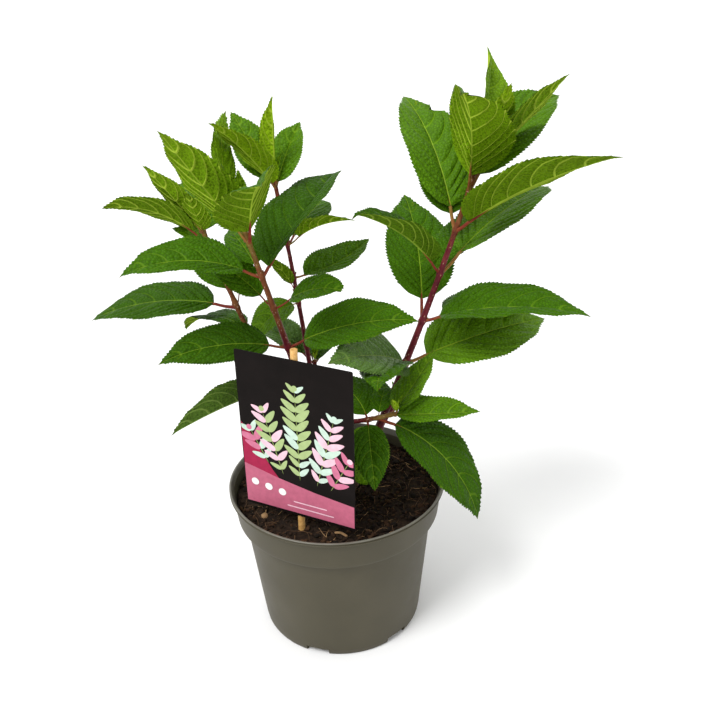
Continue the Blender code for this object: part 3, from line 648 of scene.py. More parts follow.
def leaf_finish(key, tone, zone, colour):
    """The finish of one zone of a leaf; the net of finest veins shows below, and on top as painted crease
    shade.
    """
    below = zone in ("under", "vein", "rung")
    netted = zone in ("top", "under")
    gloss = LEAF_GLOSS[tone] * (UNDER_GLOSS_SHARE if below else 1.0)
    roughness = UNDER_ROUGHNESS if below else TOP_ROUGHNESS
    relief = ("cushions", NET_SCALE, NET_DEPTH) if netted else LEAF_GRAIN
    made = make_finish(key, shades(colour, LEAF_SPREAD), LEAF_MOTTLE, roughness, relief, gloss)
    if netted:
        tree = made.node_tree
        place = tree.nodes["Texture Coordinate"].outputs["Object"]
        # On the top the net's lines are darker, painted shade in its creases; below they are the veins'
        # own paler colour
        drawn = net_colour(tree, place, colour, UNDER_LINE_SHARE if below else TOP_LINE_SHARE)
        tree.links.new(drawn, tree.nodes["Principled BSDF"].inputs["Base Color"])
    return made


def all_finishes():
    """Every finish of the plant, pot, compost and label by its name."""
    made = {}
    for tone, colours in TONES.items():
        for zone, colour in zip(ZONES, colours):
            key = f"leaf_{tone}_{zone}"
            made[key] = leaf_finish(key, tone, zone, colour)
    for key, values in FINISHES.items():
        made[key] = make_finish(key, *values)
    for key, colour in INKS.items():
        made[key] = make_finish(key, shades(colour, INK_SPREAD), *INK_LOOK)
    return made


# --- Meshes ---


def unit(vectors):
    """Vectors brought to length 1."""
    return vectors / np.linalg.norm(vectors, axis=-1, keepdims=True)


def full_turn(count):
    """Even angles round a circle, radians."""
    return np.linspace(0, math.tau, count, endpoint=False)


def spokes(beside, across, angles):
    """Vectors round a line at the given angles, from the two vectors that stand square to it."""
    turned = beside[..., None, :] * np.cos(angles)[:, None]
    return turned + across[..., None, :] * np.sin(angles)[:, None]


def level_spokes(count):
    """Level unit vectors at even angles."""
    return spokes(np.array((1.0, 0.0, 0.0)), np.array((0.0, 1.0, 0.0)), full_turn(count))


def gauss(away):
    """A smooth bump of height 1, for distances in its own reach."""
    return np.exp(-(away**2))


def cell_map(rows, spans, index, side):
    """Map places of a grid's face corners, inside the grid's own cell of a square of cells."""
    row, column = np.meshgrid(np.arange(rows), np.arange(spans), indexing="ij")
    u = np.stack([column, column + 1, column + 1, column], -1) / spans
    v = np.stack([row, row, row + 1, row + 1], -1) / rows
    inside = 1 - 2 * CELL_MARGIN
    u = (index % side + CELL_MARGIN + inside * u) / side
    v = (index // side + CELL_MARGIN + inside * v) / side
    return np.stack([u, v], -1).reshape(-1, 2)


def grid_faces(rows, columns, wrapped, start):
    """Corner numbers of a grid's faces."""
    spans = columns if wrapped else columns - 1
    row, column = np.meshgrid(np.arange(rows - 1), np.arange(spans), indexing="ij")
    after = (column + 1) % columns
    low = start + row * columns
    corners = [low + column, low + after, low + columns + after, low + columns + column]
    return np.stack(corners, -1).reshape(-1, 4)


def build(name, patches, finishes, sharp_above=50):
    """One smooth mesh from patches, riding on the body, with its finishes and its own bake map."""
    side = math.ceil(math.sqrt(len(patches)))
    points, faces, names, places = [], [], [], []
    start = 0
    for index, patch in enumerate(patches):
        rows, columns = patch.points.shape[:2]
        spans = columns if patch.wrapped else columns - 1
        points.append(patch.points.reshape(-1, 3))
        faces.append(grid_faces(rows, columns, patch.wrapped, start))
        places.append(cell_map(rows - 1, spans, index, side))
        names.append(np.broadcast_to(patch.finishes, (rows - 1, spans)).reshape(-1))
        start += rows * columns
    used, numbers = np.unique(np.concatenate(names), return_inverse=True)
    piece = mesh_object(name, np.concatenate(points), np.concatenate(faces), np.concatenate(places))
    for key in used:
        piece.data.materials.append(finishes[str(key)])
    piece.data.polygons.foreach_set("material_index", numbers.reshape(-1).astype(np.int32))
    piece.data.shade_smooth()
    piece.data.set_sharp_from_angle(angle=math.radians(sharp_above))
    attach(piece, "root")
    return piece


def mesh_object(name, points, faces, places):
    """A mesh object from arrays of points, four-cornered faces and their map places."""
    mesh = bpy.data.meshes.new(name)
    mesh.vertices.add(len(points))
    mesh.vertices.foreach_set("co", points.astype(np.float32).ravel())
    mesh.loops.add(4 * len(faces))
    mesh.loops.foreach_set("vertex_index", faces.astype(np.int32).ravel())
    mesh.polygons.add(len(faces))
    mesh.polygons.foreach_set("loop_start", np.arange(0, 4 * len(faces), 4, dtype=np.int32))
    mesh.update(calc_edges=True)
    layer = mesh.uv_layers.new(name=BAKE_MAP)
    layer.uv.foreach_set("vector", places.astype(np.float32).ravel())
    return place_in_scene(name, mesh)


def wobble(points, seed, size):
    """Smooth noise between about -1 and 1 at each point, with bumps of about the given size."""
    draw = np.random.default_rng(seed)
    total = np.zeros(points.shape[:-1])
    for part in range(WOBBLE_WAVES):
        way = unit(draw.normal(size=3))
        turns = math.tau / size * (0.6 + 0.9 * part / WOBBLE_WAVES)
        total += np.sin(points @ way * turns + draw.uniform(0, math.tau))
    return total / math.sqrt(WOBBLE_WAVES)


def lumpy(points, layers):
    """Height of lumps laid over each other, from each layer's height, seed and size."""
    return sum(height * wobble(points, seed, size) for height, seed, size in layers)


# --- Growth rule ---


def heading(azimuth, rise):
    """Unit vectors for azimuths and rises in degrees."""
    turn = np.radians(azimuth)
    lift = np.radians(rise)
    parts = [np.cos(turn) * np.cos(lift), np.sin(turn) * np.cos(lift), np.sin(lift)]
    return np.stack(np.broadcast_arrays(*parts), -1)


def stem_point(stem, place):
    """Points on a shoot, from 0 at its foot to 1 at its tip, metres."""
    foot, tip, bow = (np.array(values, float) for values in (stem.foot, stem.tip, stem.bow))
    share = np.asarray(place, float)[..., None]
    return (foot + (tip - foot) * share + bow * 4 * share * (1 - share)) * MM


def stem_length(stem):
    """Length of a shoot, metres."""
    return float(np.linalg.norm(stem_point(stem, 1.0) - stem_point(stem, 0.0)))


def stem_radius(stem, place):
    """Plain radius of a shoot at a place along it, metres."""
    return (stem.foot_radius + (stem.tip_radius - stem.foot_radius) * np.asarray(place, float)) * MM


def stem_frames(stem, places):
    """Unit vectors along, beside and across a shoot."""
    along = unit(stem_point(stem, places + 0.01) - stem_point(stem, places - 0.01))
    beside = unit(np.cross(along, (0.3, 0.9, 0.2)))  # no shoot runs along this
    return along, beside, np.cross(along, beside)


def tip_leaves(seed, place, count, rises, lengths, **shape):
    """Small leaves at a shoot's tip, turned by the golden angle from a seeded start."""
    draw = random.Random(seed)
    first = draw.uniform(0, 360)
    leaves = []
    for index in range(count):
        rise = draw.uniform(*rises)
        length = draw.uniform(*lengths)
        leaves.append(Leaf(place, "young", first + GOLDEN_ANGLE * index, rise, length, **shape))
    return tuple(leaves)


def leaves_of(name, mass):
    """A mass's leaves; a tip with buds has unfolding leaves and the smallest that clasp it."""
    if not mass.buds:
        return mass.leaves
    place = mass.end - TIP_SETBACK
    unfolding = tip_leaves(name, place, mass.buds, BUD_RISES, BUD_LENGTHS,
                           droop=0, width=0.35, fold=30, stalk=3)
    clasping = tip_leaves(name + " heart", place, HEART_LEAVES, HEART_RISES, HEART_LENGTHS,
                          droop=-8, width=0.32, fold=42, stalk=1.5)
    return mass.leaves + unfolding + clasping


# --- Bark ---


def joints_of(key):
    """Places of the joints on a shoot: the bare ones and those that bear leaves."""
    places = list(BARE_JOINTS.get(key, ()))
    for mass in MASSES.values():
        if mass.stem == key:
            places.extend(dict.fromkeys(leaf.place for leaf in mass.leaves))
    return places


def trunk_start(key):
    """Where a shoot leaves the trunk, or 0 for one that grows on another shoot."""
    return next((start for bearer, start, _ in BOUGHS.values() if bearer == key), 0.0)


def joint_relief(key, stem, places):
    """Share by which the joints swell a shoot, with the fine scar line over each."""
    length = stem_length(stem)
    relief = np.zeros_like(places)
    for joint in joints_of(key):
        away = (places - joint) * length
        for share, over, reach in JOINT_RINGS:
            relief += share * gauss((away - over) / reach)
    return relief


def lenticels(key, stem, places, angles):
    """Raised corky dots on the bark: their height in metres at each point."""
    length = stem_length(stem)
    draw = random.Random(key + " lenticels")
    height = np.zeros((len(places), len(angles)))
    for _ in range(int(length / LENTICEL_SPACING)):
        place, turn = draw.uniform(0, 0.95), draw.uniform(0, math.tau)
        tall, wide = draw.uniform(*LENTICEL_TALL), draw.uniform(*LENTICEL_WIDE)
        away = (places - place) * length
        near = np.abs(away) < 3 * tall
        if not near.any():
            continue
        round_by = (angles - turn + math.pi) % math.tau - math.pi
        aside = round_by[None, :] * stem_radius(stem, place)
        height[near] += LENTICEL_HEIGHT * gauss(away[near, None] / tall) * gauss(aside / wide)
    return height


def bark_finishes(key, centre):
    """The finish of each face of a shoot: burgundy, then brown, then greenish, merging in specks."""
    burgundy_top, brown_top, merging = BARK_LIMITS.get(key, BARK_LIMITS["others"])
    draw = np.random.default_rng(len(centre))
    height = centre[:-1, 2:] + draw.normal(0, merging, (len(centre) - 1, BARK_SIDES))
    upper = np.where(height < brown_top, "bark_brown", "bark_green")
    return np.where(height < burgundy_top, "bark_burgundy", upper)


def bark_patch(key, start, end, old_wood=False, close_tip=False):
    """The surface of a stretch of shoot, with joints, ribs and lenticels."""
    stem = STEMS[key]
    length = stem_length(stem)
    places = np.linspace(start, end, max(int((end - start) * length / ROW_STEP), 8))
    angles = full_turn(BARK_SIDES)
    outward = spokes(*stem_frames(stem, places)[1:], angles)
    leaving = trunk_start(key)
    old = np.clip(1 - places / leaving, 0, None) if leaving else np.zeros_like(places)
    collar = 0.0 if leaving else COLLAR_SWELLING * gauss(places * length / COLLAR_REACH)
    radius = stem_radius(stem, np.clip(places, 0, 1)) * (1 + STUB_SWELLING * old + collar)
    radius = radius * (1 + joint_relief(key, stem, places))
    ribs = sum(share * np.sin(count * angles + turn) for share, count, turn in BARK_RIBS)
    dots = lenticels(key, stem, places, angles)
    spread = radius[:, None] * (1 + ribs) + dots
    centre = stem_point(stem, places)
    points = centre[:, None] + outward * spread[..., None]
    flakes = wobble(points * (1, 1, 0.35), 3, FLAKE_SIZE)
    flakes = flakes * (FLAKE_HEIGHTS[0] + FLAKE_HEIGHTS[1] * np.clip(old, 0, 1))[:, None]
    points = points + outward * flakes[..., None]
    if close_tip:
        points = domed(points, centre, places, length)
    plain = "bark_old" if old_wood else bark_finishes(key, centre)
    return Patch(points, np.where(dots[:-1] > LENTICEL_HEIGHT / 2, "lenticel", plain))


def domed(points, centre, places, length):
    """Round off the end of a shoot over its last couple of millimetres."""
    left = np.clip((places[-1] - places) * length / TIP_DOME, 0, 1)
    share = np.sqrt(np.clip(1 - (1 - left) ** 2, 0.0004, 1))
    return centre[:, None] + (points - centre[:, None]) * share[:, None, None]


def flare_patch():
    """The woody foot that the boughs spring from: a low lumpy dome."""
    steps = np.linspace(0, len(FLARE_PROFILE) - 1, FLARE_ROWS)
    out, up = np.array(FLARE_PROFILE).T
    radii = np.interp(steps, range(len(out)), out) * FLARE_RADIUS
    heights = np.interp(steps, range(len(up)), up) * FLARE_HEIGHT
    outward = level_spokes(FLARE_SIDES)
    points = outward[None] * radii[:, None, None]
    points[..., 2] = SOIL_TOP + heights[:, None]
    lumps = lumpy(points, FLARE_LUMPS)
    level = outward[None] * np.clip(radii / FLARE_RADIUS, 0, 1)[:, None, None]
    points = points + level * lumps[..., None]
    points[..., 2] += lumps * 0.5
    points[..., 2] = np.minimum(points[..., 2], SOIL_TOP + FLARE_HEIGHT)
    return Patch(points[::-1] + FLARE_CENTRE, "bark_old")


# --- Leaves ---


class Network(NamedTuple):
    """A blade's veins as shares of the margin that they meet, columns across a half, and teeth."""

    veins: np.ndarray
    columns: np.ndarray
    teeth: int


def blade_share(t):
    """Half width of a blade as a share of its greatest, drawn out thin towards its tip."""
    peak = BLADE_BASE_POWER / (BLADE_BASE_POWER + BLADE_TIP_POWER)
    greatest = peak**BLADE_BASE_POWER * (1 - peak) ** BLADE_TIP_POWER
    inside = np.clip(t, 0, 1)
    share = inside**BLADE_BASE_POWER * (1 - inside) ** BLADE_TIP_POWER / greatest
    drawn = np.clip((inside - DRAWN_FROM) / (1 - DRAWN_FROM), 0, 1)
    return share * (1 - DRAWN_SHARE * drawn**0.8)


def vein_network(leaf):
    """The veins of one blade, fewer and plainer on a small one."""
    count, across, teeth = next(values for least, values in BLADE_GRIDS if leaf.length >= least)
    rib_shares = np.linspace(*RIB_SPANS, count) ** 2
    veins = np.round(rib_shares**FAN_POWER * teeth) / teeth
    return Network(veins, np.concatenate([[0.0, RIB_SHARE], np.linspace(0.09, 1.0, across)]), teeth)


def swept(margin, across):
    """Share along a blade of a row, this far out from the rib, that meets the margin at one share."""
    leaving = margin ** (1 / FAN_POWER)
    out = np.abs(across)
    return leaving + (margin - leaving) * ((1 - VEIN_SWEEP) * out + VEIN_SWEEP * out**2)


def blade_rows(network, vein_half):
    """Rows across a blade: share of the margin, vein mark, share between two veins, and tooth."""
    teeth = network.teeth
    rows = [(0.0, 0, 0.0)]
    for number in range(1, teeth + 1):
        at = number / teeth
        tooth = 1.0 if TOOTH_START < at < 0.97 else 0.0
        if np.any(np.abs(network.veins - at) < 0.2 / teeth):
            rows += [(at - vein_half, 0, 0.7 * tooth), (at, 1, tooth), (at + vein_half, 0, 0.1 * tooth)]
        else:
            rows.append((at, 0, tooth))
        if number < teeth:
            rows.append((at + 0.24 / teeth, 0, -0.25 * tooth))
    margin, vein, tooth = np.array(rows).T
    limits = np.concatenate([[0.0], network.veins, [1.0]])
    cell = np.clip(np.searchsorted(limits, margin, side="right") - 1, 0, len(limits) - 2)
    between = (margin - limits[cell]) / (limits[cell + 1] - limits[cell])
    return margin, vein, between, tooth


def along_blade(ends, t):
    """A value that changes evenly from a blade's foot to its tip."""
    return ends[0] + (ends[1] - ends[0]) * t


def tip_bend(leaf, t):
    """Degrees by which a blade's hooked tip is bent down at shares t."""
    return leaf.hook * np.clip((t - HOOK_START) / (1 - HOOK_START), 0, 1)


def blade_line(foot, leaf):
    """Finely stepped middle line of a blade as (shares, points)."""
    shares = np.linspace(0, 1, LINE_STEPS + 1)
    half = (shares[1:] + shares[:-1]) / 2
    rise = leaf.rise - leaf.droop * half - tip_bend(leaf, half)
    steps = heading(leaf.azimuth + leaf.swing * half, rise)
    start = foot + heading(leaf.azimuth, leaf.rise) * leaf.stalk * MM
    walked = np.cumsum(steps * leaf.length * MM / LINE_STEPS, axis=0)
    return shares, np.concatenate([start[None], start + walked])


def on_line(line, t):
    """Points of a middle line at shares t."""
    shares, points = line
    return np.stack([np.interp(t, shares, points[:, axis]) for axis in range(3)], -1)


def blade_frame(leaf, t):
    """Sideways and raised unit vectors of a blade at shares t."""
    turn = leaf.azimuth + leaf.swing * t
    along = heading(turn, leaf.rise - leaf.droop * t - tip_bend(leaf, t))
    level = heading(turn - 90, 0 * t)
    upward = np.cross(level, along)
    tilt = math.radians(leaf.roll)
    sideways = level * math.cos(tilt) - upward * math.sin(tilt)
    return sideways, level * math.sin(tilt) + upward * math.cos(tilt)


class Blade:
    """The bent sheet of one leaf; its surface is found from shares along and across."""

    def __init__(self, foot, leaf, draw):
        self.leaf = leaf
        self.foot = foot
        self.length = leaf.length * MM
        self.size = min(max(leaf.length / 100, 0.22), 1.1)
        self.network = vein_network(leaf)
        self.phase = draw.uniform(0, 1)
        self.waves = draw.uniform(*WAVE_COUNTS)
        self.line = blade_line(foot, leaf)

    def trimmed(self, t, across):
        """Shares along the blade, cut off where its end is missing."""
        if self.leaf.kept == 1.0:
            return t
        return np.minimum(t, self.leaf.kept + TORN_SHARE * np.sin(across * 9 + 1))

    def half_width(self, t, across):
        """Distance from the rib to the margin, metres."""
        least = LEAST_HALF[0] * self.size * (1 - t) + LEAST_HALF[1] * t
        half = np.maximum(0.5 * self.leaf.width * self.length * blade_share(t), least)
        for bite in self.leaf.bites:
            gone = bite.depth * np.exp(-(((t - bite.place) / bite.reach) ** 4))
            half = np.where(np.sign(across) == bite.side, half * (1 - gone), half)
        return half

    def lift(self, t, x, across, half):
        """How far the sheet rises over its rib: its fold, its waves and its crinkles."""
        share = np.abs(x) / np.maximum(half, 1e-6)
        folded = half * math.sin(math.radians(self.leaf.fold)) * (share + 0.30 * (share - share**2))
        wave = np.sin(math.tau * (self.waves * t + self.phase + 0.13 * np.sign(across)))
        waved = WAVE_SHARE * self.length * wave * share**2 * np.sin(np.pi * t)
        flat = np.stack([t * self.length, x, 0 * x + self.phase], -1)
        crinkle = wobble(flat, 31, CRINKLE_SIZE) * CRINKLE_HEIGHT * self.size
        return folded + waved + crinkle * np.clip(share / 0.15, 0, 1)

    def point(self, t, across, height, serration=0.0):
        """Points at shares along and across the blade, raised from its sheet by a height in metres."""
        half = self.half_width(t, across)
        rib = np.minimum(along_blade(RIB_HALF, t) * self.size, 0.35 * half)
        x = np.where(np.abs(across) == RIB_SHARE, np.sign(across) * rib, across * half)
        x = x + np.sign(across) * serration
        narrow = np.clip(4 * half / (self.leaf.width * self.length), 0, 1)
        rise = self.lift(t, x, across, half) + height * narrow
        sideways, raised = blade_frame(self.leaf, t)
        out = x * math.cos(math.radians(self.leaf.fold))
        return on_line(self.line, t) + sideways * out[..., None] + raised * rise[..., None]


def quilting(between, across):
    """Height of a blade's bulge between its veins, for a blade of full size, metres."""
    out = np.abs(across)
    envelope = np.clip(out / 0.20, 0, 1) * (1 - 0.85 * out**4)
    return QUILT_HEIGHT * np.sin(np.pi * np.clip(between, 0, 1)) ** QUILT_POWER * envelope


def blade_patch(blade):
    """A whole blade as one closed grid: top and underside, teeth, quilting, veins and damage."""
    margin, vein, between, tooth = blade_rows(blade.network, VEIN_HALF / blade.length)
    half = blade.network.columns
    top = np.concatenate([-half[:0:-1], half])
    across = np.concatenate([top, top[-2:0:-1]])
    side = np.concatenate([np.ones(len(top)), -np.ones(len(top) - 2)])
    side[0] = side[len(top) - 1] = 0.0
    t = blade.trimmed(swept(margin[:, None], across[None, :]), across[None, :])
    out = np.abs(across)[None, :]
    fading = np.clip(out / 0.06, 0, 1) * (1 - 0.9 * out**4) * vein[:, None]
    groove = VEIN_GROOVE * fading * (side > 0)
    ridge = VEIN_RIDGE * fading * (side < 0)
    rib = (out < 0.001) * along_blade(RIB_HEIGHT, t) * np.where(side > 0, 0.35, 1.0)
    height = (quilting(between[:, None], across[None, :]) - groove - ridge - rib) * blade.size
    height = height + side * BLADE_THICKNESS / 2 * blade.size**0.5
    serration = (out > 0.999) * TOOTH * blade.size**0.7 * tooth[:, None]
    points = blade.point(t, across[None, :] + 0 * t, height, serration)
    zones = zone_faces(vein, across, len(top), t)
    return Patch(points, np.char.add(f"leaf_{blade.leaf.tone}_", zones))


def zone_faces(vein, across, top_columns, t):
    """The zone of each face of a blade."""
    inner = np.abs(across) < 0.001
    by_rib = inner | np.roll(inner, -1)
    on_top = np.arange(len(across)) < top_columns - 1
    last_line = np.where(on_top, *LAST_LINES)
    near_vein = ((vein[:-1] + vein[1:]) > 0)[:, None] & (t[:-1] < last_line)
    zones = np.where(near_vein, np.where(on_top, "line", "vein"), np.where(on_top, "top", "under"))
    zones = np.where(by_rib, np.where(on_top, "rib", "vein"), zones)
    return np.where(t[:-1] > TIP_START, "tip", zones)


def rung_patches(blade, draw):
    """The fine raised rungs that join the side veins on a blade's underside."""
    patches = []
    way = np.linspace(0, 1, 4)
    profile = np.array((-1.0, 0.0, 1.0))
    limits = np.concatenate([RUNG_LIMITS[:1], blade.network.veins, RUNG_LIMITS[1:]])
    step = RUNG_SPACING / (0.5 * blade.leaf.width * blade.length)
    for low, high in zip(limits[:-1], limits[1:]):
        for sign in (-1, 1):
            place = RUNG_SLANT + step * draw.uniform(0.3, 1.0)
            while place < RUNG_EDGE - RUNG_SLANT / 2:
                slant = RUNG_SLANT * draw.uniform(0.6, 1.3)
                bow = draw.uniform(-0.012, 0.012)
                route = place + slant * (0.5 - way) + bow * np.sin(math.pi * way)
                place += step * draw.uniform(0.75, 1.35)
                t = swept(low + (high - low) * way, route)
                if t.max() > blade.leaf.kept - 0.04:
                    continue
                width = RUNG_HALF * blade.size / np.maximum(blade.half_width(t, sign * route), 0.001)
                spread = route[:, None] + profile * width[:, None]
                across = sign * np.clip(spread, RIB_SHARE * 1.2, 0.97)
                height = quilting(way, route)[:, None] - RUNG_RIDGE * (profile == 0)
                height = height * blade.size - BLADE_THICKNESS / 2 * blade.size**0.5 + 0.01 * MM
                points = blade.point(t[:, None] + 0 * across, across, height)
                patches.append(Patch(points, f"leaf_{blade.leaf.tone}_rung", False))
    return patches


def stalk_patch(blade):
    """A leaf's stalk, channelled on top, running on under the blade as its rib."""
    leaf = blade.leaf
    size = min(max(leaf.length / 100, 0.3), 1.15)
    under = np.linspace(0.0, STALK_UNDER, UNDER_ROWS)
    along = on_line(blade.line, under)
    sideways, raised = blade_frame(leaf, under)
    bare = np.linspace(0, 1, STALK_ROWS, endpoint=False)
    sag = -np.sin(np.pi * bare)[:, None] * (STALK_SAG * leaf.stalk * MM) * raised[0]
    way = heading(leaf.azimuth, leaf.rise) * (leaf.stalk * MM * bare)[:, None]
    centre = np.concatenate([blade.foot + way + sag, along - raised * (0.45 * STALK_RADIUS * size)])
    beside = np.concatenate([np.repeat(sideways[:1], STALK_ROWS, 0), sideways])
    above = np.concatenate([np.repeat(raised[:1], STALK_ROWS, 0), raised])
    foot = 1.0 + STALK_FOOT * (1 - bare) ** 3
    thick = np.concatenate([foot, np.linspace(*UNDER_SHARES, UNDER_ROWS)])
    angles = full_turn(STALK_SIDES)
    channel = 1 - STALK_CHANNEL * gauss((angles - math.pi / 2) / 0.5)
    radius = STALK_RADIUS * size * thick[:, None] * channel
    points = centre[:, None] + spokes(beside, above, angles) * radius[..., None]
    return Patch(points, "stalk_rosy" if leaf.tone in ROSY_STALKED else "stalk_red")


def axil_bud(stem, leaf):
    """The pointed bud that sits over a leaf's stalk."""
    along = stem_frames(stem, np.array([leaf.place]))[0][0]
    outward = heading(leaf.azimuth, 0.0)
    outward = unit(outward - along * (outward @ along))
    radius = float(stem_radius(stem, leaf.place))
    foot = stem_point(stem, leaf.place) + along * BUD_OVER_STALK + outward * radius * 0.8
    axis = unit(along * 0.85 + outward * 0.53)
    beside = unit(np.cross(axis, outward))
    ring = spokes(beside, np.cross(beside, axis), full_turn(BUD_SIDES))
    t = np.linspace(0, 1, BUD_ROWS)
    swell = BUD_RADIUS * np.sin(np.pi * np.clip(0.12 + 0.88 * t, 0, 1)) ** 0.8 + 0.02 * MM
    centre = foot + axis * (t * BUD_HEIGHT)[:, None]
    return Patch(centre[:, None] + ring[None] * swell[:, None, None], "bud")


def rooted(key, start):
    """Where a stretch of shoot starts, run back into its bough if it starts at the shoot's foot."""
    return -ROOTED / stem_length(STEMS[key]) if start == 0 else start


def dress_mass(name, mass, finishes):
    """A mass's own shoot, stalks, buds and blades, each kind a piece."""
    stem = STEMS[mass.stem]
    draw = random.Random(name + " leaves")
    blades, stalks, buds, rungs = [], [], [], []
    for leaf in leaves_of(name, mass):
        blade = Blade(stem_point(stem, leaf.place), leaf, draw)
        blades.append(blade_patch(blade))
        if leaf.length >= RUNG_LENGTH:
            rungs += rung_patches(blade, draw)
        stalks.append(stalk_patch(blade))
        if leaf.length > LEAST_BEARING:
            buds.append(axil_bud(stem, leaf))
    shoot = bark_patch(mass.stem, rooted(mass.stem, mass.start), mass.end, close_tip=mass.end == 1.0)
    short = name.replace("_foliage", "")
    kinds = (("shoot", [shoot], "bark"), ("stalks", stalks + buds, "bark"),
             ("blades", blades, "leaf"), ("rungs", rungs, "leaf"))
    for kind, patches, slot in kinds:
        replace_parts(build(f"{short}_{kind}", patches, finishes), name)


def dress_boughs(finishes):
    """The bare boughs, and the trunk with the stubs of those that it bears."""
    stubs = []
    for name, (key, start, end) in BOUGHS.items():
        patch = bark_patch(key, rooted(key, start), end)
        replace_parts(build(name + "_bark", [patch], finishes), name)
        if start > 0:
            stubs.append(bark_patch(key, STUB_FOOT, start, old_wood=True))
    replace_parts(build("trunk_bark", stubs + [flare_patch()], finishes), "trunk")


# --- Pot and soil ---


def notch_angles():
    """Angles round the pot, with the notches' sides set between the even ones."""
    even = np.linspace(0, 360, POT_SEGMENTS, endpoint=False)
    span = math.degrees(NOTCH_WIDTH / BASE_RADIUS) / 2
    middles = [FIRST_NOTCH + 360 / NOTCHES * index for index in range(NOTCHES)]
    edges = []
    for middle in middles:
        for side in (-1, 1):
            edge = middle + side * span
            edges.extend((edge, edge + side * NOTCH_CORNER))
    edges = np.array(edges) % 360
    keep = [angle for angle in even if turned_by(angle, edges).min() > 0.5]
    angles = np.sort(np.concatenate([keep, edges]))
    inside = np.zeros(len(angles), bool)
    for middle in middles:
        inside |= turned_by(angles, middle) < span + NOTCH_CORNER / 2
    return np.radians(angles), inside


def turned_by(first, second):
    """Degrees between directions, the short way round."""
    return np.abs((first - second + 180) % 360 - 180)


def pot_profile():
    """Radius and height of the pot's wall: from its underside up the outside, then down the inside."""
    slope = (NECK_RADIUS - BASE_RADIUS) / COLLAR_BOTTOM
    collar_rise = LIP_BOTTOM - COLLAR_BOTTOM
    collar_spread = COLLAR_TOP_RADIUS - COLLAR_RADIUS
    wall = [NOTCH_HEIGHT - 0.0004, NOTCH_HEIGHT, NOTCH_HEIGHT + 0.0004, *np.linspace(0.008, 0.1085, 34)]
    foot = [(AXIS, 0.0), (BASE_RADIUS - 0.012, 0.0), (BASE_RADIUS - 0.0024, 0.0),
            (BASE_RADIUS - 0.0008, 0.0006), (BASE_RADIUS, 0.0022)]
    neck = [(NECK_RADIUS - 0.0001, 0.1099), (NECK_RADIUS + 0.0004, 0.1105),
            (COLLAR_RADIUS - 0.0012, 0.1108), (COLLAR_RADIUS - 0.0003, COLLAR_BOTTOM + 0.0002),
            (COLLAR_RADIUS, COLLAR_BOTTOM + 0.0009)]
    outside = foot + [(BASE_RADIUS + slope * height, height) for height in wall] + neck
    outside += [(COLLAR_RADIUS + collar_spread * share, COLLAR_BOTTOM + collar_rise * share)
                for share in np.linspace(0.08, 0.97, 10)]
    outside += [(LIP_RADIUS - sunk * MM, LIP_BOTTOM + up * MM) for sunk, up in LIP_BEADS]
    inside = [(LIP_RADIUS - POT_WALL, POT_HEIGHT - 0.0001),
              (LIP_RADIUS - POT_WALL - 0.0004, POT_HEIGHT - 0.0006),
              (COLLAR_TOP_RADIUS - POT_WALL, LIP_BOTTOM - 0.0010),
              (COLLAR_TOP_RADIUS - POT_WALL - 0.0005, 0.130),
              (COLLAR_RADIUS - POT_WALL, COLLAR_BOTTOM + POT_WALL),
              (NECK_RADIUS - POT_WALL, COLLAR_BOTTOM),
              (BASE_RADIUS - NOTCH_DEPTH - 0.002, POT_FLOOR), (AXIS, POT_FLOOR)]
    return np.array(outside), np.array(inside)


def pot_patch():
    """The pot's wall as one closed grid, with its drain notches pressed in round the foot."""
    angles, inside = notch_angles()
    outer, inner = pot_profile()
    profile = np.concatenate([outer, inner])
    radius = np.repeat(profile[:, :1], len(angles), 1)
    height = np.repeat(profile[:, 1:], len(angles), 1)
    pressed = (height < NOTCH_HEIGHT - 0.0002) & inside[None, :]
    pressed &= (np.arange(len(profile)) < len(outer))[:, None]
    radius = np.where(pressed & (radius > BASE_RADIUS - NOTCH_DEPTH), BASE_RADIUS - NOTCH_DEPTH, radius)
    points = np.stack([radius * np.cos(angles), radius * np.sin(angles), height], -1)
    wavy = POT_UNEVENNESS * np.sin(3 * angles + 0.6)[None, :] * np.clip(height / POT_HEIGHT, 0, 1)
    points[..., :2] *= (1 + wavy / np.maximum(radius, 0.01))[..., None]
    # The topmost rows of the lip take the paler finish: a painted highlight
    lit_lip_rows = profile[:-1, 1] > POT_HEIGHT - LIP_HIGHLIGHT_DEPTH
    return Patch(points, np.where(lit_lip_rows, "pot_lip_highlight", "pot_plastic")[:, None])


def soil_height(x, y):
    """Height of the compost's surface: uneven, sunk a little at the pot's wall."""
    flat = np.stack([x, y, 0 * x], -1)
    out = np.hypot(x, y) / SOIL_RADIUS
    return SOIL_LEVEL + lumpy(flat, SOIL_LUMPS) - SOIL_SINKING * np.clip(out, 0, 1) ** 6


def soil_patch():
    """The compost: its uneven top, and its sides down inside the pot."""
    angles = full_turn(SOIL_SEGMENTS)
    circle = np.stack([np.cos(angles), np.sin(angles)])
    radii = SOIL_RADIUS * np.linspace(0.005, 1, SOIL_RINGS) ** 0.8
    x, y = radii[:, None] * circle[:, None]
    rings = [np.stack([x, y, soil_height(x, y)], -1)]
    for radius, height in SOIL_SIDES:
        rings.append(np.stack([*(radius * circle), 0 * angles + height], -1)[None])
    return Patch(np.concatenate(rings)[::-1], "peat")


def soil_place(draw, reach=0.985):
    """A seeded place on the compost."""
    turn = draw.uniform(0, math.tau)
    out = SOIL_RADIUS * reach * math.sqrt(draw.uniform(0, 1))
    return out * math.cos(turn), out * math.sin(turn)


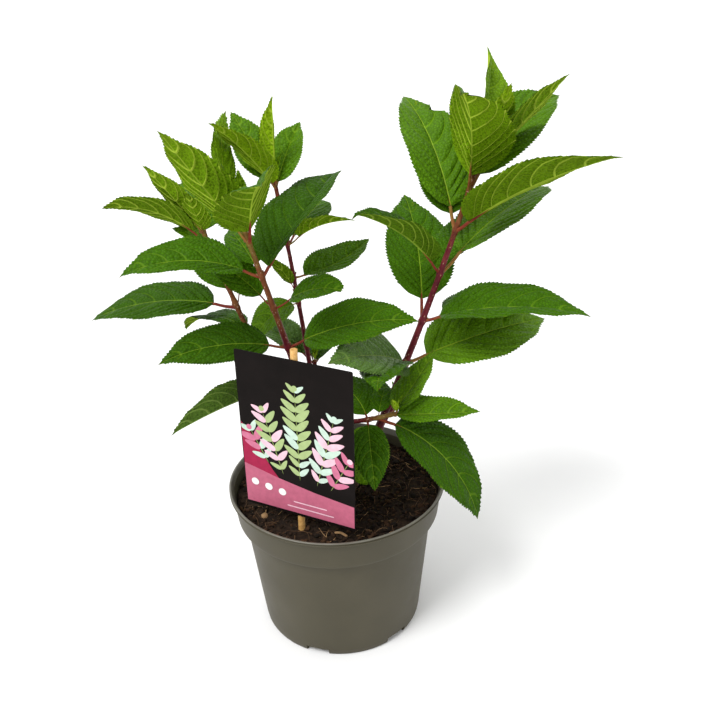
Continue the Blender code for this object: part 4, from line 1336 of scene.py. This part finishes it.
def clod_patch(x, y, size, draw, finish):
    """One irregular crumb lying on the compost."""
    t = np.linspace(0.04, math.pi - 0.04, CLOD_ROWS)
    points = np.sin(t)[:, None, None] * level_spokes(CLOD_SIDES)
    points[..., 2] = -np.cos(t)[:, None]
    stretch = np.array([draw.uniform(*limits) for limits in CLOD_STRETCHES])
    lumps = 1 + CLOD_LUMPS * wobble(points, draw.randrange(10**6), 1.6)[..., None]
    points = points * stretch * lumps * size
    turn = Matrix.Rotation(draw.uniform(0, math.tau), 3, "Z")
    spin = turn @ Matrix.Rotation(draw.uniform(-0.5, 0.5), 3, "X")
    height = float(soil_height(np.array(x), np.array(y))) + CLOD_STANDING * size
    return Patch(points @ np.array(spin).T + (x, y, height), finish)


def fibre_patch(x, y, length, thick, draw, finish):
    """One bent fibre lying on the compost."""
    t = np.linspace(0, 1, FIBRE_ROWS)
    turn = draw.uniform(0, math.tau) + draw.uniform(-FIBRE_BEND, FIBRE_BEND) * t
    steps = np.stack([np.cos(turn), np.sin(turn)], -1) * length / (FIBRE_ROWS - 1)
    route = np.cumsum(steps, 0) - steps.sum(0) / 2 + (x, y)
    out = np.hypot(route[:, 0], route[:, 1])
    route = route * np.minimum(1, SOIL_RADIUS * 0.98 / out)[:, None]
    height = soil_height(route[:, 0], route[:, 1]) + thick * draw.uniform(0.5, 1.6)
    height = height + FIBRE_ARCH * draw.uniform(0, 1) * np.sin(math.pi * t)
    centre = np.concatenate([route, height[:, None]], 1)
    along = np.gradient(centre, axis=0)
    ring = spokes(unit(np.cross(along, (0, 0, 1))), np.array((0, 0, 1.0)), full_turn(FIBRE_SIDES))
    ends = thick * np.sqrt(np.clip(1 - (2 * t - 1) ** 6, 0.02, 1))
    return Patch(centre[:, None] + ring * ends[:, None, None], finish)


def dress_pot_and_soil(finishes):
    """The pot and what fills it."""
    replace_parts(build("pot_shell", [pot_patch()], finishes, 38), "pot")
    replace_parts(build("compost_bed", [soil_patch()], finishes, 80), "soil")
    draw = random.Random(41)
    clods = []
    for _ in range(CLODS):
        x, y = soil_place(draw)
        kind = draw.choices(("peat", "peat_brown", "peat_black"), (5, 3, 3))[0]
        clods.append(clod_patch(x, y, draw.uniform(0.5, 1.0) ** 2 * CLOD_SIZE, draw, kind))
    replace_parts(build("compost_crumbs", clods, finishes, 75), "soil")
    fibres = []
    for _ in range(FIBRES):
        x, y = soil_place(draw, 0.95)
        kind = draw.choices(("fibre_brown", "fibre_tan"), (6, 1))[0]
        length = draw.uniform(*FIBRE_LENGTHS)
        fibres.append(fibre_patch(x, y, length, draw.uniform(*FIBRE_RADII), draw, kind))
    for x, y, length, thick in STRAWS:
        fibres.append(fibre_patch(x, y, length, thick, draw, "fibre_tan"))
    for x, y, size, kind in CHIPS:
        fibres.append(clod_patch(x, y, size, draw, kind))
    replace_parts(build("compost_fibres", fibres, finishes, 75), "soil")


# --- Label ---


def card_matrix():
    """The card's own frame: X along its width, Z up it, Y through it."""
    turn = Matrix.Rotation(CARD_YAW, 4, "Z")
    tip = Matrix.Rotation(CARD_LEAN, 4, "X") @ Matrix.Rotation(CARD_ROLL, 4, "Y")
    return Matrix.Translation(CARD_CENTRE) @ turn @ tip


def on_card(points):
    """Points of the card's frame in the scene's frame."""
    frame_of = np.array(card_matrix())
    return np.asarray(points) @ frame_of[:3, :3].T + frame_of[:3, 3]


def rounded_outline(width, height, corner, steps=8):
    """Points round a rectangle with rounded corners."""
    points = []
    for quarter, (x, z) in enumerate(((1, 1), (-1, 1), (-1, -1), (1, -1))):
        for step in range(steps):
            angle = math.radians(90 * quarter + 90 * step / (steps - 1))
            points.append((x * (width / 2 - corner) + corner * math.cos(angle),
                           z * (height / 2 - corner) + corner * math.sin(angle)))
    return np.array(points)


def flat_ring(outline, y):
    """An outline on a plane of the card, at depth y through it, in the scene's frame."""
    return on_card(np.insert(outline, 1, y, axis=1))


def card_patch():
    """The card's body: front and back joined by its edge."""
    outline = rounded_outline(CARD_WIDTH, CARD_HEIGHT, CARD_CORNER)
    rings = [flat_ring(outline * share, side * CARD_THICKNESS / 2)
             for share, side in ((CLOSED, -1), (1.0, -1), (1.0, 1), (CLOSED, 1))]
    return Patch(np.array(rings), "card_dark")


def ink(outline, layer, finish):
    """A flat printed shape on the card's front."""
    limit = np.array((CARD_WIDTH, CARD_HEIGHT)) / 2 - PRINT_MARGIN
    outline = np.clip(np.asarray(outline, float), -limit, limit)
    middle = outline.mean(0)
    y = -CARD_THICKNESS / 2 - INK_STEP * layer
    rings = [flat_ring(middle + (outline - middle) * share, y) for share in (CLOSED, 1.0)]
    return Patch(np.array(rings), finish)


def oval(x, z, length, width, turn):
    """Outline of a pointed oval with one end at (x, z)."""
    t = full_turn(OVAL_POINTS)
    along = length * (0.5 - 0.5 * np.cos(t))
    aside = 0.5 * width * np.sin(t) * (0.75 + 0.25 * np.cos(t))
    c, s = math.cos(turn), math.sin(turn)
    return np.stack([x + along * c - aside * s, z + along * s + aside * c], -1)


def ring_outline(x, z, radius):
    """Outline of a round spot."""
    t = full_turn(SPOT_POINTS)
    return np.stack([x + radius * np.cos(t), z + radius * np.sin(t)], -1)


def spray(x, z, turn, length, draw, colours):
    """A printed sprig: a fine stalk with pairs of oval leaflets and a spot at its tip."""
    shapes = [ink(oval(x, z, length, SPRIG_STALK, turn), 3, "ink_stalk")]
    pairs = max(4, round(length / LEAFLET_SPACING))
    for pair in range(pairs):
        share = (pair + 0.6) / pairs
        at_x = x + length * share * math.cos(turn)
        at_z = z + length * share * math.sin(turn)
        size = LEAFLET * math.sin(math.pi * (0.20 + 0.62 * share)) * draw.uniform(0.9, 1.1)
        for side in (-1, 1):
            colour = colours[draw.randrange(len(colours))]
            way = turn + side * draw.uniform(*LEAFLET_TURNS)
            leaflet = oval(at_x, at_z, size, size * 0.50, way)
            shapes.append(ink(leaflet, 4 + 0.3 * pair + 0.1 * side, colour))
    tip = ring_outline(x + length * math.cos(turn), z + length * math.sin(turn), SPRIG_TIP)
    return shapes + [ink(tip, 7, colours[0])]


def card_print():
    """The card's generic print: sprigs over a dark ground, a rosy foot band and a crimson panel."""
    draw = random.Random(77)
    half_width = CARD_WIDTH / 2 - 0.0006
    shapes = []
    for layer, (outline, colour) in enumerate(GROUNDS, 1):
        shapes.append(ink(np.array(outline) * (half_width, 1) + (0, BAND_TOP), layer, colour))
    for x, z, turn, length, colours in SPRIGS:
        shapes += spray(x, z, turn, length, draw, colours)
    for x, z in SPOTS:
        shapes.append(ink(ring_outline(x, BAND_TOP + z, SPOT_RADIUS), 8, "ink_white"))
    for width, z in RULES:
        rule = rounded_outline(width, 0.0011, 0.0005, 4) + (0.010, BAND_TOP + z)
        shapes.append(ink(rule, 8, "ink_blush"))
    return shapes


def stick_patch():
    """The split bamboo stick: finely grooved, with a raised ring and a clean-cut top."""
    back = CARD_THICKNESS / 2 + GAP + STICK_RADIUS
    foot = on_card((STICK_FOOT_OFFSET, back, -CARD_HEIGHT / 2 - STICK_BELOW_CARD))
    top = on_card((STICK_TOP_OFFSET, back, CARD_HEIGHT / 2 + STICK_ABOVE_CARD))
    length = np.linalg.norm(top - foot)
    axis = (top - foot) / length
    beside = unit(np.cross(axis, (0.2, 1.0, 0.0)))
    t = np.concatenate([[0.0], np.linspace(0, 1, STICK_ROWS), [1.0]])
    angles = full_turn(STICK_SIDES)
    ring = spokes(beside, np.cross(axis, beside), angles)
    swell = sum(share * gauss((t - place) * length / reach) for share, place, reach in STICK_RINGS)
    grooves = sum(depth * np.abs(np.sin(angles * count + turn)) for depth, count, turn in STICK_GROOVES)
    radius = STICK_RADIUS * (1 + swell[:, None]) * (1 - grooves)
    radius[0] = radius[-1] = 0.00004
    centre = foot + (top - foot) * t[:, None]
    return Patch(centre[:, None] + ring[None] * radius[..., None], "bamboo")


def dress_label(finishes):
    """The label card with its print, and its stick."""
    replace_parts(build("label_card_body", [card_patch()], finishes, 30), "label_card")
    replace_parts(build("label_card_print", card_print(), finishes, 30), "label_card")
    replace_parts(build("label_stick_bamboo", [stick_patch()], finishes, 40), "label_stick")


# --- Studio ---


def place_in_scene(name, data):
    """A new object for a light, a camera or a mesh, put in the scene."""
    made = bpy.data.objects.new(name, data)
    bpy.context.scene.collection.objects.link(made)
    return made


def add_camera():
    """A camera in front of the pot, a little above it and tilted down."""
    pan, tilt, roll = CAMERA_TURNS
    tilted = Matrix.Rotation(math.pi / 2 - tilt, 4, "X") @ Matrix.Rotation(roll, 4, "Z")
    turned = Matrix.Rotation(-pan, 4, "Z") @ tilted
    lens = bpy.data.cameras.new("studio_camera")
    lens.lens = CAMERA_LENS
    lens.sensor_width = CAMERA_SENSOR
    lens.clip_end = CAMERA_REACH
    camera = place_in_scene("studio_camera", lens)
    camera.matrix_world = Matrix.Translation(CAMERA_PLACE) @ turned
    bpy.context.scene.camera = camera


def add_floor():
    """A plain pale floor that runs far past the picture."""
    ways = ((-1, -1), (1, -1), (1, 1), (-1, 1))
    corners = [(x * FLOOR_REACH, y * FLOOR_REACH, 0) for x, y in ways]
    mesh = bpy.data.meshes.new("floor")
    mesh.from_pydata(corners, [], [(0, 1, 2, 3)])
    mesh.materials.append(make_finish("studio_floor", *FLOOR_LOOK))
    place_in_scene("floor", mesh)


def add_sky():
    """A bright white sky, a little brighter to the back and overhead."""
    world = bpy.data.worlds.new("studio_sky")
    world.use_nodes = True
    tree = world.node_tree
    direction = add_node(tree, "ShaderNodeTexCoord").outputs["Generated"]
    slopes = {0: direction, 1: SKY_SLOPE}
    slope = add_node(tree, "ShaderNodeVectorMath", slopes, operation="DOT_PRODUCT")
    levels = {0: slope.outputs["Value"], 1: SKY_LEVEL}
    level = add_node(tree, "ShaderNodeMath", levels, operation="ADD")
    tree.links.new(level.outputs["Value"], tree.nodes["Background"].inputs["Strength"])
    tree.nodes["Background"].inputs["Color"].default_value = (1, 1, 1, 1)
    bpy.context.scene.world = world
    bpy.context.scene.view_settings.view_transform = "Standard"


def add_sun():
    """One broad soft light from the front left, overhead."""
    sun = bpy.data.lights.new("soft_sun", "SUN")
    sun.energy = SUN_STRENGTH
    sun.angle = SUN_ANGLE
    holder = place_in_scene("soft_sun", sun)
    holder.rotation_euler = SUN_FROM.to_track_quat("Z", "Y").to_euler()


all_made = all_finishes()
dress_pot_and_soil(all_made)
dress_label(all_made)
dress_boughs(all_made)
for mass_name, mass_plan in MASSES.items():
    dress_mass(mass_name, mass_plan, all_made)
add_camera()
add_floor()
add_sky()
add_sun()
